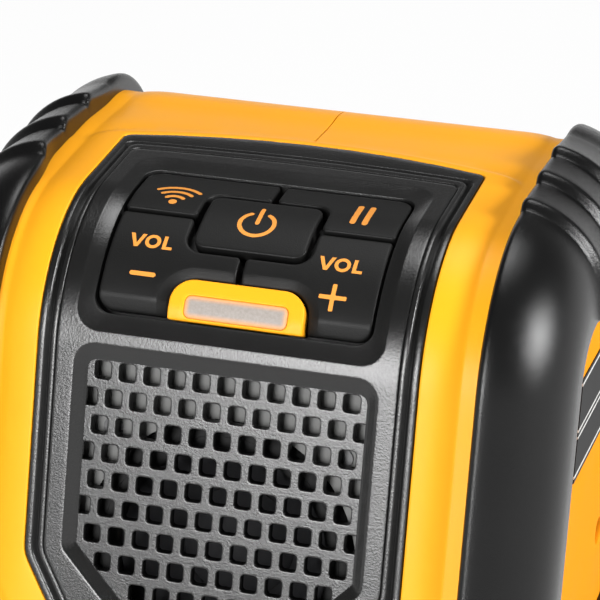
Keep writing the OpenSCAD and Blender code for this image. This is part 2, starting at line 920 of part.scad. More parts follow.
module driver_basket() {
    rim = -basket_at - basket_t;
    window_h = spider_at - basket_at - basket_t - 5;
    color("#2a2b2d") on_driver() difference() {
        turned([
            [cone_r + 0.6, -basket_at], [basket_r, -basket_at], [basket_r, rim], [cone_r + 3, rim],
            [magnet_r - 2, -spider_at], [magnet_r - 2, -spider_at - 2], [coil_r + 4, -spider_at - 2],
            [coil_r + 4, -spider_at], [magnet_r - 4.4, -spider_at], [cone_r + 0.6, rim - 0.4]
        ]);
        translate([0, 0, rim - 1]) linear_extrude(basket_t + 2) driver_bores();
        for (a = [0:60:300]) rotate([0, 0, a]) translate([coil_r + 9, -7, -spider_at + 2])
            cube([basket_r, 14, window_h]);
    }
}

module driver_top_plate() {
    inner = coil_r + 1.2;
    outer = magnet_r - 3;
    top = -magnet_at + plate_t;
    color(steel) on_driver() turned([[inner, top], [outer, top], [outer, -magnet_at], [inner, -magnet_at]]);
}

module driver_magnet() {
    low = -magnet_at - magnet_t;
    color("#4a4a4c") on_driver() turned([
        [coil_r + 3, -magnet_at], [magnet_r, -magnet_at], [magnet_r, low], [coil_r + 3, low]
    ]);
}

module driver_yoke() {
    low = -magnet_at - magnet_t;
    pole = coil_r - 1.4;
    color(steel) on_driver() turned([
        [0, -magnet_at + plate_t], [pole, -magnet_at + plate_t], [pole, low], [magnet_r - 3, low],
        [magnet_r - 3, low - plate_t], [0, low - plate_t]
    ]);
}

module driver_cone() {
    color(black) on_driver() turned([
        [roll_r - roll_out, -cone_top], [roll_r - roll_out + 0.6, -cone_top - 0.8],
        [coil_r + 0.4, -cone_foot - 0.4], [coil_r + 0.4, -cone_foot + 0.8]
    ]);
}

module driver_dust_cap() {
    dome_r = 18;
    color("#202124") on_driver() translate([0, 0, -cone_foot + 2.7]) intersection() {
        translate([0, 0, -sqrt(dome_r * dome_r - pow(coil_r + 1.5, 2))]) difference() {
            sphere(dome_r);
            sphere(dome_r - 0.8);
        }
        cylinder(r = coil_r + 1.5, h = dome_r);
    }
}

module voice_coil() {
    color("#b87333") on_driver() translate([0, 0, -yoke_at - 2]) difference() {
        cylinder(r = coil_r + 0.4, h = yoke_at + 2 - cone_foot - 0.6);
        translate([0, 0, -1]) cylinder(r = coil_r - 0.4, h = yoke_at);
    }
}

module driver_surround() {
    color(black) on_driver() translate([0, 0, -basket_at]) {
        rotate_extrude() intersection() {
            translate([roll_r, 0]) difference() {
                circle(roll_out);
                circle(roll_out - roll_t);
            }
            translate([roll_r - 2 * roll_out, 0]) square([4 * roll_out, 2 * roll_out]);
        }
        difference() {
            cylinder(r = cone_r + 3.4, h = 0.5);
            translate([0, 0, -1]) cylinder(r = roll_r + roll_out - roll_t, h = 3);
        }
    }
}

module driver_spider() {
    color("#c9a45c") on_driver() translate([0, 0, -spider_at]) turned([
        [coil_r + 0.8, 0.8], [coil_r + 4, 1.6], [coil_r + 7, 0.8], [magnet_r - 5, 1.2],
        [magnet_r - 5, 0.6], [coil_r + 7, 0.2], [coil_r + 4, 1], [coil_r + 0.8, 0.2]
    ]);
}

// Battery bay
module battery_dock() {
    bay_h = bay_high - bay_low;
    outer_h = bay_h + 2 * dock_wall;
    color(black) difference() {
        union() {
            translate([-bay_x - dock_wall, dock_y - dock_wall, bay_low - dock_wall])
                cube([2 * (bay_x + dock_wall), bay_depth + dock_wall + flange_t, outer_h]);
            translate([0, rear_y + flange_t, (bay_low + bay_high) / 2]) rotate([90, 0, 0])
                linear_extrude(flange_t)
                    round_rect(2 * (bay_x + dock_wall + flange_w), outer_h + 2 * flange_w, 6);
        }
        difference() {
            translate([-bay_x, dock_y, bay_low]) cube([2 * bay_x, bay_depth + flange_t + 1, bay_h]);
            for (side = [-1, 1], z = [0.34, 0.62])
                translate([side * (bay_x - 1.5), dock_y + bay_depth / 2 - 2, bay_low + z * bay_h])
                    cube([3 + eps, bay_depth - 4, 4], center = true);
        }
        translate([-block_w / 2, dock_y - 10, block_low]) cube([block_w, 20, block_h]);
        for (p = dock_holes()) translate([p[0], rear_y + 5, p[1]]) rotate([90, 0, 0])
            cylinder(d = dock_screw_d + 2 * fit, h = 12);
    }
}

function dock_holes() = [for (x = [-1, 1], z = [-1, 1])
    [x * (bay_x + dock_wall + flange_w / 2), (bay_low + bay_high) / 2 + z * (bay_high - bay_low) / 2]];

module terminal_block() {
    slot = blade_t + 0.2;
    color("#27282a") difference() {
        union() {
            translate([-block_w / 2 + fit, dock_y - block_back, block_low + fit])
                cube([block_w - 2 * fit, block_back + 10, block_h - 2 * fit]);
            translate([-block_w / 2 - 3, dock_y - block_back, block_low - 3])
                cube([block_w + 6, block_back - dock_wall, block_h + 6]);
        }
        for (k = [-1:1]) translate([k * blade_pitch - slot / 2, dock_y - 20, block_low + 2])
            cube([slot, 40, block_h - 4]);
    }
}

module battery_blades() {
    color("#c8a24a") for (k = [-1:1])
        translate([k * blade_pitch - blade_t / 2, dock_y - block_back - 4, block_low + 2 + fit / 2])
            cube([blade_t, block_back + 12, block_h - 4 - fit]);
}

// Sockets behind the rear flap
module socket_panel() {
    color(black) difference() {
        union() {
            translate([-port_x, socket_y, port_z - port_half_h])
                cube([2 * port_x, socket_depth + flange_t, 2 * port_half_h]);
            translate([0, rear_y + flange_t, port_z]) rotate([90, 0, 0]) linear_extrude(flange_t)
                round_rect(2 * (port_x + socket_flange), 2 * (port_half_h + socket_flange), 4);
        }
        translate([-port_x + port_wall, socket_y + 2.5, port_z - port_half_h + port_wall])
            cube([2 * (port_x - port_wall), socket_depth + flange_t, 2 * (port_half_h - port_wall)]);
        translate([-socket_x, socket_y + 5, port_z]) rotate([90, 0, 0]) cylinder(r = aux_r + fit, h = 10);
        translate([0, socket_y, port_z]) cube([usb_w + 2 * fit, 10, usb_h + 2 * fit], center = true);
        translate([socket_x, socket_y + 5, port_z]) rotate([90, 0, 0]) cylinder(r = inlet_r + fit, h = 10);
        on_pin(port_x - 0.8) cylinder(d = pin_d + 2 * pin_fit, h = 2 * (port_x - 0.8));
    }
}

module aux_socket() {
    color("#2d2e30") translate([-socket_x, socket_y, port_z]) difference() {
        union() {
            translate([0, 4, 0]) rotate([90, 0, 0]) cylinder(r = aux_r, h = 5);
            translate([-6, -12, -6]) cube([12, 12, 12]);
        }
        translate([0, 5, 0]) rotate([90, 0, 0]) cylinder(d = 3.6, h = 15);
    }
}

module usb_socket() {
    color(steel) translate([0, socket_y - 5, port_z]) difference() {
        translate([0, 1, 0]) cube([usb_w, 16, usb_h], center = true);
        translate([0, 2.5, 0]) cube([usb_w - 1.4, 15, usb_h - 1.4], center = true);
    }
}

module power_inlet() {
    color("#2d2e30") translate([socket_x, socket_y, port_z]) {
        difference() {
            union() {
                translate([0, 4, 0]) rotate([90, 0, 0]) cylinder(r = inlet_r, h = 5);
                translate([-6.5, -12, -6.5]) cube([13, 12, 13]);
            }
            translate([0, 5, 0]) rotate([90, 0, 0]) cylinder(d = 6.4, h = 14);
        }
        translate([0, 2, 0]) rotate([90, 0, 0]) cylinder(d = 2.1, h = 12);
    }
}

// Along the flap's pin, from half a length to the left
module on_pin(half) {
    translate([-half, pin_y, pin_z]) rotate([0, 90, 0]) children();
}

// The flap lies flush in the socket panel and swings up on its pin
module port_flap() {
    half = port_x - port_wall - fit;
    low = port_z - port_half_h + port_wall + fit;
    color(black) difference() {
        union() {
            translate([-half, rear_y + flange_t - flap_t, low]) cube([2 * half, flap_t, pin_z - low]);
            on_pin(half) cylinder(r = barrel_r, h = 2 * half);
        }
        on_pin(port_x) cylinder(d = pin_d + 2 * pin_fit, h = 2 * port_x);
        // nail notch
        translate([0, rear_y + flange_t + 1, low - 2]) rotate([90, 0, 0]) cylinder(r = 5, h = flap_t + 2);
    }
}

module flap_pin() {
    color(steel) on_pin(port_x - 1) cylinder(d = pin_d, h = 2 * (port_x - 1));
}

// Electronics on the floor of the body
module main_board() {
    color(board_green) difference() {
        translate([-board_plan[0] / 2, board_y - board_plan[1] / 2, board_z])
            cube([board_plan[0], board_plan[1], board_t]);
        for (p = board_holes()) translate([p[0], p[1], board_z - 1])
            cylinder(d = board_screw_d + 4 * fit, h = 5);
    }
}

module on_main_board() {
    translate([0, board_y, board_top]) children();
}

module wireless_module() {
    color(steel) on_main_board() translate(radio_at) cube(radio_size);
}

module heat_sink() {
    color("#8d9196") on_main_board() translate(sink_at) {
        cube(sink_size);
        for (i = [0:5]) translate([i * fin_pitch, 0, sink_size[2] - 1]) cube([fin_t, sink_size[1], fin_h]);
    }
}

module board_capacitors() {
    color("#26303f") on_main_board() for (x = [-14, -2], y = [8, 21]) translate([x, y, 0])
        cylinder(d = can_d, h = can_h);
}

module board_plugs() {
    color("ivory") on_main_board() for (x = [-30, -16, 12, 26])
        translate([x - plug_size[0] / 2, 2 - board_plan[1] / 2, 0]) cube(plug_size);
}

// Fasteners
module screw(head_d, head_h, shank_d, length) {
    difference() {
        cylinder(d = head_d, h = head_h);
        translate([0, 0, head_h / 2]) rotate([0, 0, 30]) cylinder(d = head_d / 2, h = head_h, $fn = 6);
    }
    translate([0, 0, -length]) cylinder(d = shank_d, h = length + eps);
}

module shell_screws() {
    color(steel) for (b = bosses) translate([screw_head_x, b[0], b[1]]) rotate([0, 90, 0])
        screw(screw_head_d, 3, screw_d, screw_head_x + 18);
}

module driver_screws() {
    color(steel) on_driver() for (p = driver_holes()) translate([p[0], p[1], -baffle_at])
        screw(5, driver_head_h, driver_screw_d, 10);
}

module board_screws() {
    color(steel) for (p = board_holes()) translate([p[0], p[1], board_top]) screw(5, 2, board_screw_d, 5);
}

module dock_screws() {
    color(steel) for (p = dock_holes()) translate([p[0], rear_y + flange_t, p[1]]) rotate([-90, 0, 0])
        screw(4.4, 1.2, dock_screw_d, 4.5);
}

// Plain side labels, whose front ends lean as the face does
module side_label() {
    l = label_half[0];
    h = label_half[1];
    lean = h * tan(face_tilt);
    color(black) translate([side_x, label_mid[0], label_mid[1]]) rotate([90, 0, 90]) linear_extrude(0.3)
        polygon([
            [-l - lean, label_drop - h], [l, -label_drop - h], [l, h - label_drop], [lean - l, h + label_drop]
        ]);
}

module right_label() { side_label(); }

module left_label() { mirror([1, 0, 0]) side_label(); }

left_shell();
right_shell();
left_bumper();
right_bumper();
front_bezel();
speaker_grille();
wireless_key();
pause_key();
power_key();
volume_down_key();
volume_up_key();
light_bar_frame();
light_bar_lens();
key_frame();
key_board();
key_switches();
board_leds();
baffle_plate();
driver_gasket();
driver_basket();
driver_magnet();
driver_yoke();
driver_top_plate();
driver_cone();
driver_dust_cap();
driver_surround();
driver_spider();
voice_coil();
battery_dock();
terminal_block();
battery_blades();
main_board();
wireless_module();
heat_sink();
board_capacitors();
board_plugs();
socket_panel();
aux_socket();
usb_socket();
power_inlet();
port_flap();
flap_pin();
shell_screws();
driver_screws();
board_screws();
dock_screws();
left_label();
right_label();
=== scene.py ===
"""Looks of a jobsite wireless speaker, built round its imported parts. Metres in the scene, millimetres in the
helpers. +Z is up and the front faces -Y. A place on the body's skin is (x, w, d): x across, w along the skin
(0 where the flat top ends, positive towards the rear, negative down the front) and d out of the skin."""

import json
import math

import bpy
import numpy as np
from mathutils import Matrix, Vector
from mathutils.geometry import delaunay_2d_cdt


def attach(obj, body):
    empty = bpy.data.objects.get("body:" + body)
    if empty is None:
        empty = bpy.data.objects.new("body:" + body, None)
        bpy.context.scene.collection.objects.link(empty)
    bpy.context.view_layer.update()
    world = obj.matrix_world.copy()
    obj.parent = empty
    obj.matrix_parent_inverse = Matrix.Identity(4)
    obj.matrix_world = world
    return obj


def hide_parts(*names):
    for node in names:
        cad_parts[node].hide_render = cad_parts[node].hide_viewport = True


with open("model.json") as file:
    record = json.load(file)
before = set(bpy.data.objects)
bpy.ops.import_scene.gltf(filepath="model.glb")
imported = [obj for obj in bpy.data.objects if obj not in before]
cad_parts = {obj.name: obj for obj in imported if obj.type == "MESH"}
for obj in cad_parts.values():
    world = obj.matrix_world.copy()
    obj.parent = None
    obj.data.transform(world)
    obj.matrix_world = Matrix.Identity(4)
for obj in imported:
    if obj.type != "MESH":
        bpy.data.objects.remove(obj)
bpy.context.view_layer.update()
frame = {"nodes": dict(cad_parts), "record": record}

MM = 0.001

# Sizes shared with the construction
BODY_D = 155.0
FACE_LEN = 88.0
BROW_R = 40.0
CROWN_R = 30.0
FOOT_R = 31.0
STAND_H = 2.0
SIDE_X = 81.0
FACE_SIN = 0.28
FACE_COS = 0.96
KEY_R = 39.0
FACE_TURN = 180.0 - math.degrees(math.asin(FACE_SIN))
TOE = (-BODY_D / 2 + FOOT_R, STAND_H + FOOT_R)
HEEL = (BODY_D / 2 - FOOT_R, STAND_H + FOOT_R)
BROW = (
    TOE[0] + (BROW_R - FOOT_R) * FACE_COS + FACE_LEN * FACE_SIN,
    TOE[1] - (BROW_R - FOOT_R) * FACE_SIN + FACE_LEN * FACE_COS,
)
TOP_Z = BROW[1] + BROW_R
CROWN = (BODY_D / 2 - CROWN_R, TOP_Z - CROWN_R)
BROW_LEN = BROW_R * math.radians(FACE_TURN - 90)


# Skin of the body
def skin_path():
    """Arcs and straight runs of the skin, in the order of falling w from the front of the flat top."""
    corners = [
        (BROW, BROW_R, 90.0, FACE_TURN),
        (TOE, FOOT_R, FACE_TURN, 270.0),
        (HEEL, FOOT_R, 270.0, 360.0),
        (CROWN, CROWN_R, 0.0, 90.0),
    ]
    path = []
    start = 0.0
    for i, (centre, r, a0, a1) in enumerate(corners):
        arc = r * math.radians(a1 - a0)
        path.append(("arc", start, start + arc, centre, r, math.radians(a0)))
        start += arc
        after, after_r = corners[(i + 1) % 4][0], corners[(i + 1) % 4][1]
        a = math.radians(a1)
        run = math.hypot(
            after[0] + after_r * math.cos(a) - centre[0] - r * math.cos(a),
            after[1] + after_r * math.sin(a) - centre[1] - r * math.sin(a),
        )
        path.append(("run", start, start + run, centre, r, a))
        start += run
    return path, start


PATH, ROUND = skin_path()


def place(x, w, d):
    """World points, in millimetres, of places on the skin."""
    x, w, d = np.broadcast_arrays(np.asarray(x, float), np.asarray(w, float), np.asarray(d, float))
    s = np.mod(-w, ROUND)
    y = np.zeros_like(s)
    z = np.zeros_like(s)
    for kind, s0, s1, centre, r, a in PATH:
        here = (s >= s0) & (s <= s1)
        if kind == "arc":
            turn = a + (s[here] - s0) / r
            y[here] = centre[0] + (r + d[here]) * np.cos(turn)
            z[here] = centre[1] + (r + d[here]) * np.sin(turn)
        else:
            y[here] = centre[0] + (r + d[here]) * math.cos(a) - (s[here] - s0) * math.sin(a)
            z[here] = centre[1] + (r + d[here]) * math.sin(a) + (s[here] - s0) * math.cos(a)
    return np.stack([x, y, z], axis=-1)


def on_keys(s):
    """The w of a length s along the key tops."""
    s = np.asarray(s, float)
    return np.where(s > 0, -s * BROW_R / KEY_R, -s)


def on_face(v):
    """The w of a height v on the leaning face."""
    return np.asarray(v, float) - BROW_LEN


def ease(low, high, value):
    t = np.clip((np.asarray(value, float) - low) / (high - low), 0, 1)
    return t * t * (3 - 2 * t)


# Flat outlines
def anticlockwise(loop):
    x, y = loop[:, 0], loop[:, 1]
    area = np.sum(x * np.roll(y, -1) - y * np.roll(x, -1))
    return loop if area > 0 else loop[::-1]


def rounded(corners, step=1.5, bend=9.0, runs=None):
    """Closed outline through corners (x, w, radius), with arcs of equal turns. The straight runs have
    equal steps, or the numbers of steps given in runs."""
    count = len(corners)
    points = []
    ends = []
    for i in range(count):
        p = np.array(corners[i][:2], float)
        back = np.array(corners[i - 1][:2], float) - p
        ahead = np.array(corners[(i + 1) % count][:2], float) - p
        back /= np.linalg.norm(back)
        ahead /= np.linalg.norm(ahead)
        half = math.acos(float(np.clip(back @ ahead, -1, 1))) / 2
        r = corners[i][2]
        if r <= 0 or half > math.radians(89.5):
            ends.append([p])
            continue
        reach = r / math.tan(half)
        middle = p + (back + ahead) / np.linalg.norm(back + ahead) * r / math.sin(half)
        first = p + back * reach - middle
        last = p + ahead * reach - middle
        a0 = math.atan2(first[1], first[0])
        turn = math.atan2(first[0] * last[1] - first[1] * last[0], first @ last)
        pieces = max(2, int(round(abs(math.degrees(turn)) / bend)))
        angles = [a0 + turn * k / pieces for k in range(pieces + 1)]
        ends.append([middle + r * np.array([math.cos(a), math.sin(a)]) for a in angles])
    for i in range(count):
        points.extend(ends[i])
        start = ends[i][-1]
        end = ends[(i + 1) % count][0]
        pieces = runs[i] if runs else max(1, int(round(np.linalg.norm(end - start) / step)))
        points.extend(start + (end - start) * k / pieces for k in range(1, pieces))
    return anticlockwise(np.array(points))


def normals_in(loop):
    """Unit directions into a closed, anticlockwise outline, stretched at corners."""
    ahead = np.roll(loop, -1, axis=0) - loop
    ahead /= np.linalg.norm(ahead, axis=1)[:, None]
    back = np.roll(ahead, 1, axis=0)
    left_a = np.stack([-ahead[:, 1], ahead[:, 0]], axis=1)
    left_b = np.stack([-back[:, 1], back[:, 0]], axis=1)
    mid = left_a + left_b
    mid /= np.linalg.norm(mid, axis=1)[:, None]
    stretch = np.clip(np.sum(mid * left_a, axis=1), 0.5, 1)
    return mid / stretch[:, None]


def inset(loop, g):
    return loop + normals_in(loop) * np.asarray(g, float).reshape(-1, 1)


def inside(points, loop):
    """Which points lie inside a closed outline."""
    x, w = points[:, 0], points[:, 1]
    odd = np.zeros(len(points), bool)
    x0, w0 = loop[:, 0], loop[:, 1]
    x1, w1 = np.roll(x0, -1), np.roll(w0, -1)
    for a, b, c, e in zip(x0, w0, x1, w1):
        if b == e:
            continue
        crosses = (b > w) != (e > w)
        odd ^= crosses & (x < (c - a) * (w - b) / (e - b) + a)
    return odd


def away(points, loop, gap):
    """Which points are further than gap from an outline's corner points."""
    keep = np.ones(len(points), bool)
    for p in loop:
        keep &= np.sum((points - p) ** 2, axis=1) > gap * gap
    return keep


# Meshes
class Skin:
    """Gathers the points and faces of one piece. Spot turns flat places and heights into points."""

    def __init__(self, spot=place):
        self.spot = spot
        self.points = []
        self.flat = []
        self.faces = []
        self.marks = []

    def loop(self, outline, d, mark=0.0):
        """Adds a closed outline at heights d and returns its point numbers."""
        start = len(self.points)
        self.points.extend(self.spot(outline[:, 0], outline[:, 1], d))
        self.flat.extend(outline)
        self.marks.extend([mark] * len(outline))
        return np.arange(start, start + len(outline))

    def band(self, outer, inner):
        """Joins two closed rows of points, the outer or lower one first."""
        count = len(outer)
        for i in range(count):
            j = (i + 1) % count
            self.faces.append((outer[i], outer[j], inner[j], inner[i]))

    def stack(self, rows):
        for outer, inner in zip(rows, rows[1:]):
            self.band(outer, inner)

    def fill(self, outer, holes, height, spacing, creases=()):
        """Closes the room inside a row, round any holes, with triangles that follow the skin."""
        rings = [np.array([self.flat[i] for i in ring]) for ring in [outer, *holes]]
        low, high = rings[0].min(axis=0), rings[0].max(axis=0)
        xs = np.arange(low[0] + spacing / 2, high[0], spacing)
        ws = np.arange(low[1] + spacing / 2, high[1], spacing)
        grid = np.array([(x + (spacing / 2 if k % 2 else 0), w) for k, w in enumerate(ws) for x in xs])
        if len(grid):
            keep = inside(grid, rings[0]) & away(grid, rings[0], spacing * 0.6)
            for ring in rings[1:]:
                keep &= ~inside(grid, ring) & away(grid, ring, spacing * 0.6)
            for crease in creases:
                keep &= away(grid, crease, spacing * 0.6)
            grid = grid[keep]
        known = [int(i) for ring in [outer, *holes] for i in ring]
        coords = [Vector(self.flat[i]) for i in known]
        edges = []
        at = 0
        for ring in rings:
            edges.extend((at + i, at + (i + 1) % len(ring)) for i in range(len(ring)))
            at += len(ring)
        extra = []
        for crease in creases:
            start = at + len(extra)
            extra.extend(crease)
            edges.extend((start + i, start + i + 1) for i in range(len(crease) - 1))
        extra.extend(grid)
        coords.extend(Vector(p) for p in extra)
        found, _, tris, origins, _, _ = delaunay_2d_cdt(coords, edges, [], 1, 1e-5)
        number = {}
        for k, source in enumerate(origins):
            if source and min(source) < len(known):
                number[k] = known[min(source)]
                continue
            p = np.array(found[k])
            number[k] = len(self.points)
            self.points.append(self.spot(p[0], p[1], height(p[0], p[1])))
            self.flat.append(p)
            self.marks.append(0.0)
        flat = np.array([tuple(p) for p in found])
        middle = np.array([flat[list(t)].mean(axis=0) for t in tris])
        keep = inside(middle, rings[0])
        for ring in rings[1:]:
            keep &= ~inside(middle, ring)
        for t, ok in zip(tris, keep):
            if not ok:
                continue
            a, b, c = (flat[i] for i in t)
            turn = (b[0] - a[0]) * (c[1] - a[1]) - (b[1] - a[1]) * (c[0] - a[0])
            order = t if turn > 0 else t[::-1]
            self.faces.append(tuple(number[i] for i in order))

    def build(self, name, material, sharp=38.0):
        return build(name, self.points, self.faces, material, sharp, self.marks)


def build(name, points, faces, material, sharp=38.0, marks=None):
    """Makes an object from millimetre points."""
    data = bpy.data.meshes.new(name)
    corners = [tuple(float(c) * MM for c in p) for p in points]
    data.from_pydata(corners, [], [tuple(int(i) for i in f) for f in faces])
    data.validate()
    if marks is not None:
        layer = data.attributes.new("mark", "FLOAT", "POINT")
        layer.data.foreach_set("value", [float(m) for m in marks])
    data.shade_smooth()
    data.set_sharp_from_angle(angle=math.radians(sharp))
    data.materials.append(material)
    obj = bpy.data.objects.new(name, data)
    bpy.context.scene.collection.objects.link(obj)
    return obj


# Materials
GRAIN_DEPTH = 0.0002


def add(tree, kind, **inputs):
    """A new node with some of its inputs set; an underscore in a name stands for a space."""
    node = tree.nodes.new("ShaderNode" + kind)
    for name, value in inputs.items():
        node.inputs[name.replace("_", " ")].default_value = value
    return node


def shader(name):
    material = bpy.data.materials.new(name)
    material.use_nodes = True
    tree = material.node_tree
    return material, tree, tree.nodes["Principled BSDF"]


def noise(tree, scale, detail=2.0, roughness=0.5):
    coords = add(tree, "TexCoord")
    node = add(tree, "TexNoise", Scale=scale, Detail=detail, Roughness=roughness)
    tree.links.new(coords.outputs["Object"], node.inputs["Vector"])
    return node.outputs["Fac"]


def ramp(tree, source, low, high, low_at=0.3, high_at=0.7, between=()):
    """Colours from low to high over a value, with any (position, colour) stops between them."""
    node = add(tree, "ValToRGB")
    node.color_ramp.elements[0].position = low_at
    node.color_ramp.elements[1].position = high_at
    node.color_ramp.elements[0].color = (*low, 1)
    node.color_ramp.elements[1].color = (*high, 1)
    for at, colour in between:
        node.color_ramp.elements.new(at).color = (*colour, 1)
    tree.links.new(source, node.inputs["Fac"])
    return node.outputs["Color"]


def bump(tree, bsdf, source, strength):
    node = add(tree, "Bump", Strength=strength, Distance=GRAIN_DEPTH)
    tree.links.new(source, node.inputs["Height"])
    tree.links.new(node.outputs["Normal"], bsdf.inputs["Normal"])


def set_gloss(bsdf, rough, spec):
    bsdf.inputs["Roughness"].default_value = rough
    bsdf.inputs["Specular IOR Level"].default_value = spec


def plastic(name, colour, rough, spec, grain, grain_strength, mottle=0.08, metal=0.0):
    """Moulded material: slow colour mottle, fine grain in the surface and slight wear in the gloss."""
    material, tree, bsdf = shader(name)
    cloud = noise(tree, 60.0, 4.0)
    dim = tuple(c * (1 - mottle) for c in colour)
    tree.links.new(ramp(tree, cloud, dim, colour), bsdf.inputs["Base Color"])
    fine = noise(tree, grain, 3.0, 0.6)
    bump(tree, bsdf, fine, grain_strength)
    gloss = ramp(tree, cloud, (rough * 0.92,) * 3, (min(1.0, rough * 1.08),) * 3)
    tree.links.new(gloss, bsdf.inputs["Roughness"])
    bsdf.inputs["Specular IOR Level"].default_value = spec
    bsdf.inputs["Metallic"].default_value = metal
    return material


def rubber(name, colour):
    """Moulded rubber with a leather-like grain."""
    material, tree, bsdf = shader(name)
    coords = add(tree, "TexCoord")
    cells = add(tree, "TexVoronoi")
    cells.feature = "SMOOTH_F1"
    cells.inputs["Scale"].default_value = 4200.0
    cells.inputs["Smoothness"].default_value = 0.6
    tree.links.new(coords.outputs["Object"], cells.inputs["Vector"])
    bump(tree, bsdf, cells.outputs["Distance"], 0.2)
    cloud = noise(tree, 45.0, 3.0)
    dim = tuple(c * 0.8 for c in colour)
    tree.links.new(ramp(tree, cloud, dim, colour), bsdf.inputs["Base Color"])
    set_gloss(bsdf, 0.26, 0.3)
    return material


# Each is colour, roughness, gloss, grain's scale and strength, mottle and metal
finishes = {
    "yellow_shell": ((0.93, 0.385, 0.013), 0.38, 0.14, 2000.0, 0.12, 0.03),
    "panel_plastic": ((0.009, 0.009, 0.0088), 0.24, 0.55, 1900.0, 0.32),
    "key_rubber": ((0.008, 0.008, 0.0078), 0.46, 0.18, 2600.0, 0.25),
    "black_plastic": ((0.015, 0.015, 0.015), 0.5, 0.35, 2200.0, 0.2),
    "circuit_board": ((0.02, 0.11, 0.055), 0.45, 0.5, 900.0, 0.1),
    "switch_metal": ((0.6, 0.61, 0.63), 0.35, 0.5, 1200.0, 0.08, 0.1, 1.0),
    "lamp_white": ((0.8, 0.78, 0.7), 0.5, 0.4, 900.0, 0.05),
    "baffle_plastic": ((0.16, 0.16, 0.156), 0.55, 0.3, 1500.0, 0.15),
    "gasket_foam": ((0.02, 0.02, 0.02), 0.8, 0.2, 1800.0, 0.4),
    "driver_steel": ((0.03, 0.03, 0.032), 0.4, 0.5, 800.0, 0.1),
    "ferrite": ((0.08, 0.08, 0.082), 0.6, 0.4, 900.0, 0.2),
    "plated_steel": ((0.6, 0.61, 0.62), 0.32, 0.5, 900.0, 0.08, 0.1, 1.0),
    "cone_paper": ((0.03, 0.03, 0.032), 0.7, 0.25, 900.0, 0.5),
    "spider_cloth": ((0.5, 0.33, 0.12), 0.8, 0.2, 1500.0, 0.5),
    "coil_copper": ((0.6, 0.27, 0.12), 0.35, 0.5, 2000.0, 0.2, 0.1, 1.0),
    "blade_metal": ((0.72, 0.55, 0.22), 0.3, 0.5, 1000.0, 0.05, 0.1, 1.0),
    "sink_metal": ((0.55, 0.57, 0.6), 0.4, 0.5, 900.0, 0.1, 0.1, 1.0),
    "can_sleeve": ((0.03, 0.045, 0.08), 0.3, 0.5, 900.0, 0.05),
    "label_film": ((0.014, 0.014, 0.014), 0.3, 0.5, 900.0, 0.03),
    "frosted_lens": ((0.6, 0.52, 0.49), 0.5, 0.4, 1500.0, 0.4),
}
looks = {name: plastic(name, *values) for name, values in finishes.items()}
looks["bumper_rubber"] = rubber("bumper_rubber", (0.005, 0.005, 0.005))
# The flat sides take a darker, more orange copy of the shell yellow: painted shade
shaded_side_yellow = plastic("shaded_side_yellow", (0.8, 0.28, 0.008), 0.65, 0.02, 1600.0, 0.15, 0.03)
legend_print = plastic("legend_print", (0.78, 0.3, 0.05), 0.5, 0.2, 1800.0, 0.08, 0.12)

for entry in frame["record"]["subparts"]:
    part = frame["nodes"][entry["node"]]
    part.data.materials.clear()
    part.data.materials.append(looks[entry["material_slot"]])
frame["nodes"]["driver_screws"].data.materials[0] = looks["driver_steel"]


LABEL_Y, LABEL_Z = 12.5, 99
LABEL_HALF_H = 13
LABEL_FALL = 2.5 / 27.0


def label_look():
    """Dark film with pale lines along it."""
    material, tree, bsdf = shader("label_lines")
    coords = add(tree, "TexCoord")
    split = add(tree, "SeparateXYZ")
    tree.links.new(coords.outputs["Object"], split.inputs[0])
    slope = add(tree, "Math")
    slope.operation = "MULTIPLY_ADD"
    slope.inputs[1].default_value = LABEL_FALL
    tree.links.new(split.outputs["Y"], slope.inputs[0])
    tree.links.new(split.outputs["Z"], slope.inputs[2])
    middle = LABEL_Z + LABEL_Y * LABEL_FALL
    low, high = (middle - LABEL_HALF_H) * MM, (middle + LABEL_HALF_H) * MM
    place_in = add(tree, "MapRange", From_Min=low, From_Max=high)
    tree.links.new(slope.outputs[0], place_in.inputs["Value"])
    dark, pale = (0.006, 0.006, 0.006), (0.6, 0.6, 0.58)
    stops = [(0.03, pale), (0.055, dark), (0.425, pale), (0.448, dark), (0.49, pale), (0.513, dark),
             (0.945, pale)]
    lines = ramp(tree, place_in.outputs["Result"], dark, dark, 0.0, 0.97, stops)
    lines.node.color_ramp.interpolation = "CONSTANT"
    tree.links.new(lines, bsdf.inputs["Base Color"])
    bump(tree, bsdf, noise(tree, 900.0), 0.03)
    set_gloss(bsdf, 0.45, 0.06)
    return material


film = label_look()
for label in ("left_label", "right_label"):
    frame["nodes"][label].data.materials[0] = film


def show(piece, body, slot, *nodes):
    """Lets a piece ride on a body in place of the named nodes. The slot argument is not used."""
    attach(piece, body)
    if nodes:
        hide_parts(*nodes)


# Front panel
PANEL_HALF = 48.5
PANEL_REAR = 36
PANEL_KINK = 53.8
PANEL_LOW = 89.0
PANEL_RISE = 6.5
PANEL_BOW = (PANEL_HALF ** 2 + PANEL_RISE ** 2) / (2 * PANEL_RISE)
TAPER = math.radians(29.6)
WINDOW_HALF = 39.0
WINDOW_KINK = 51.3


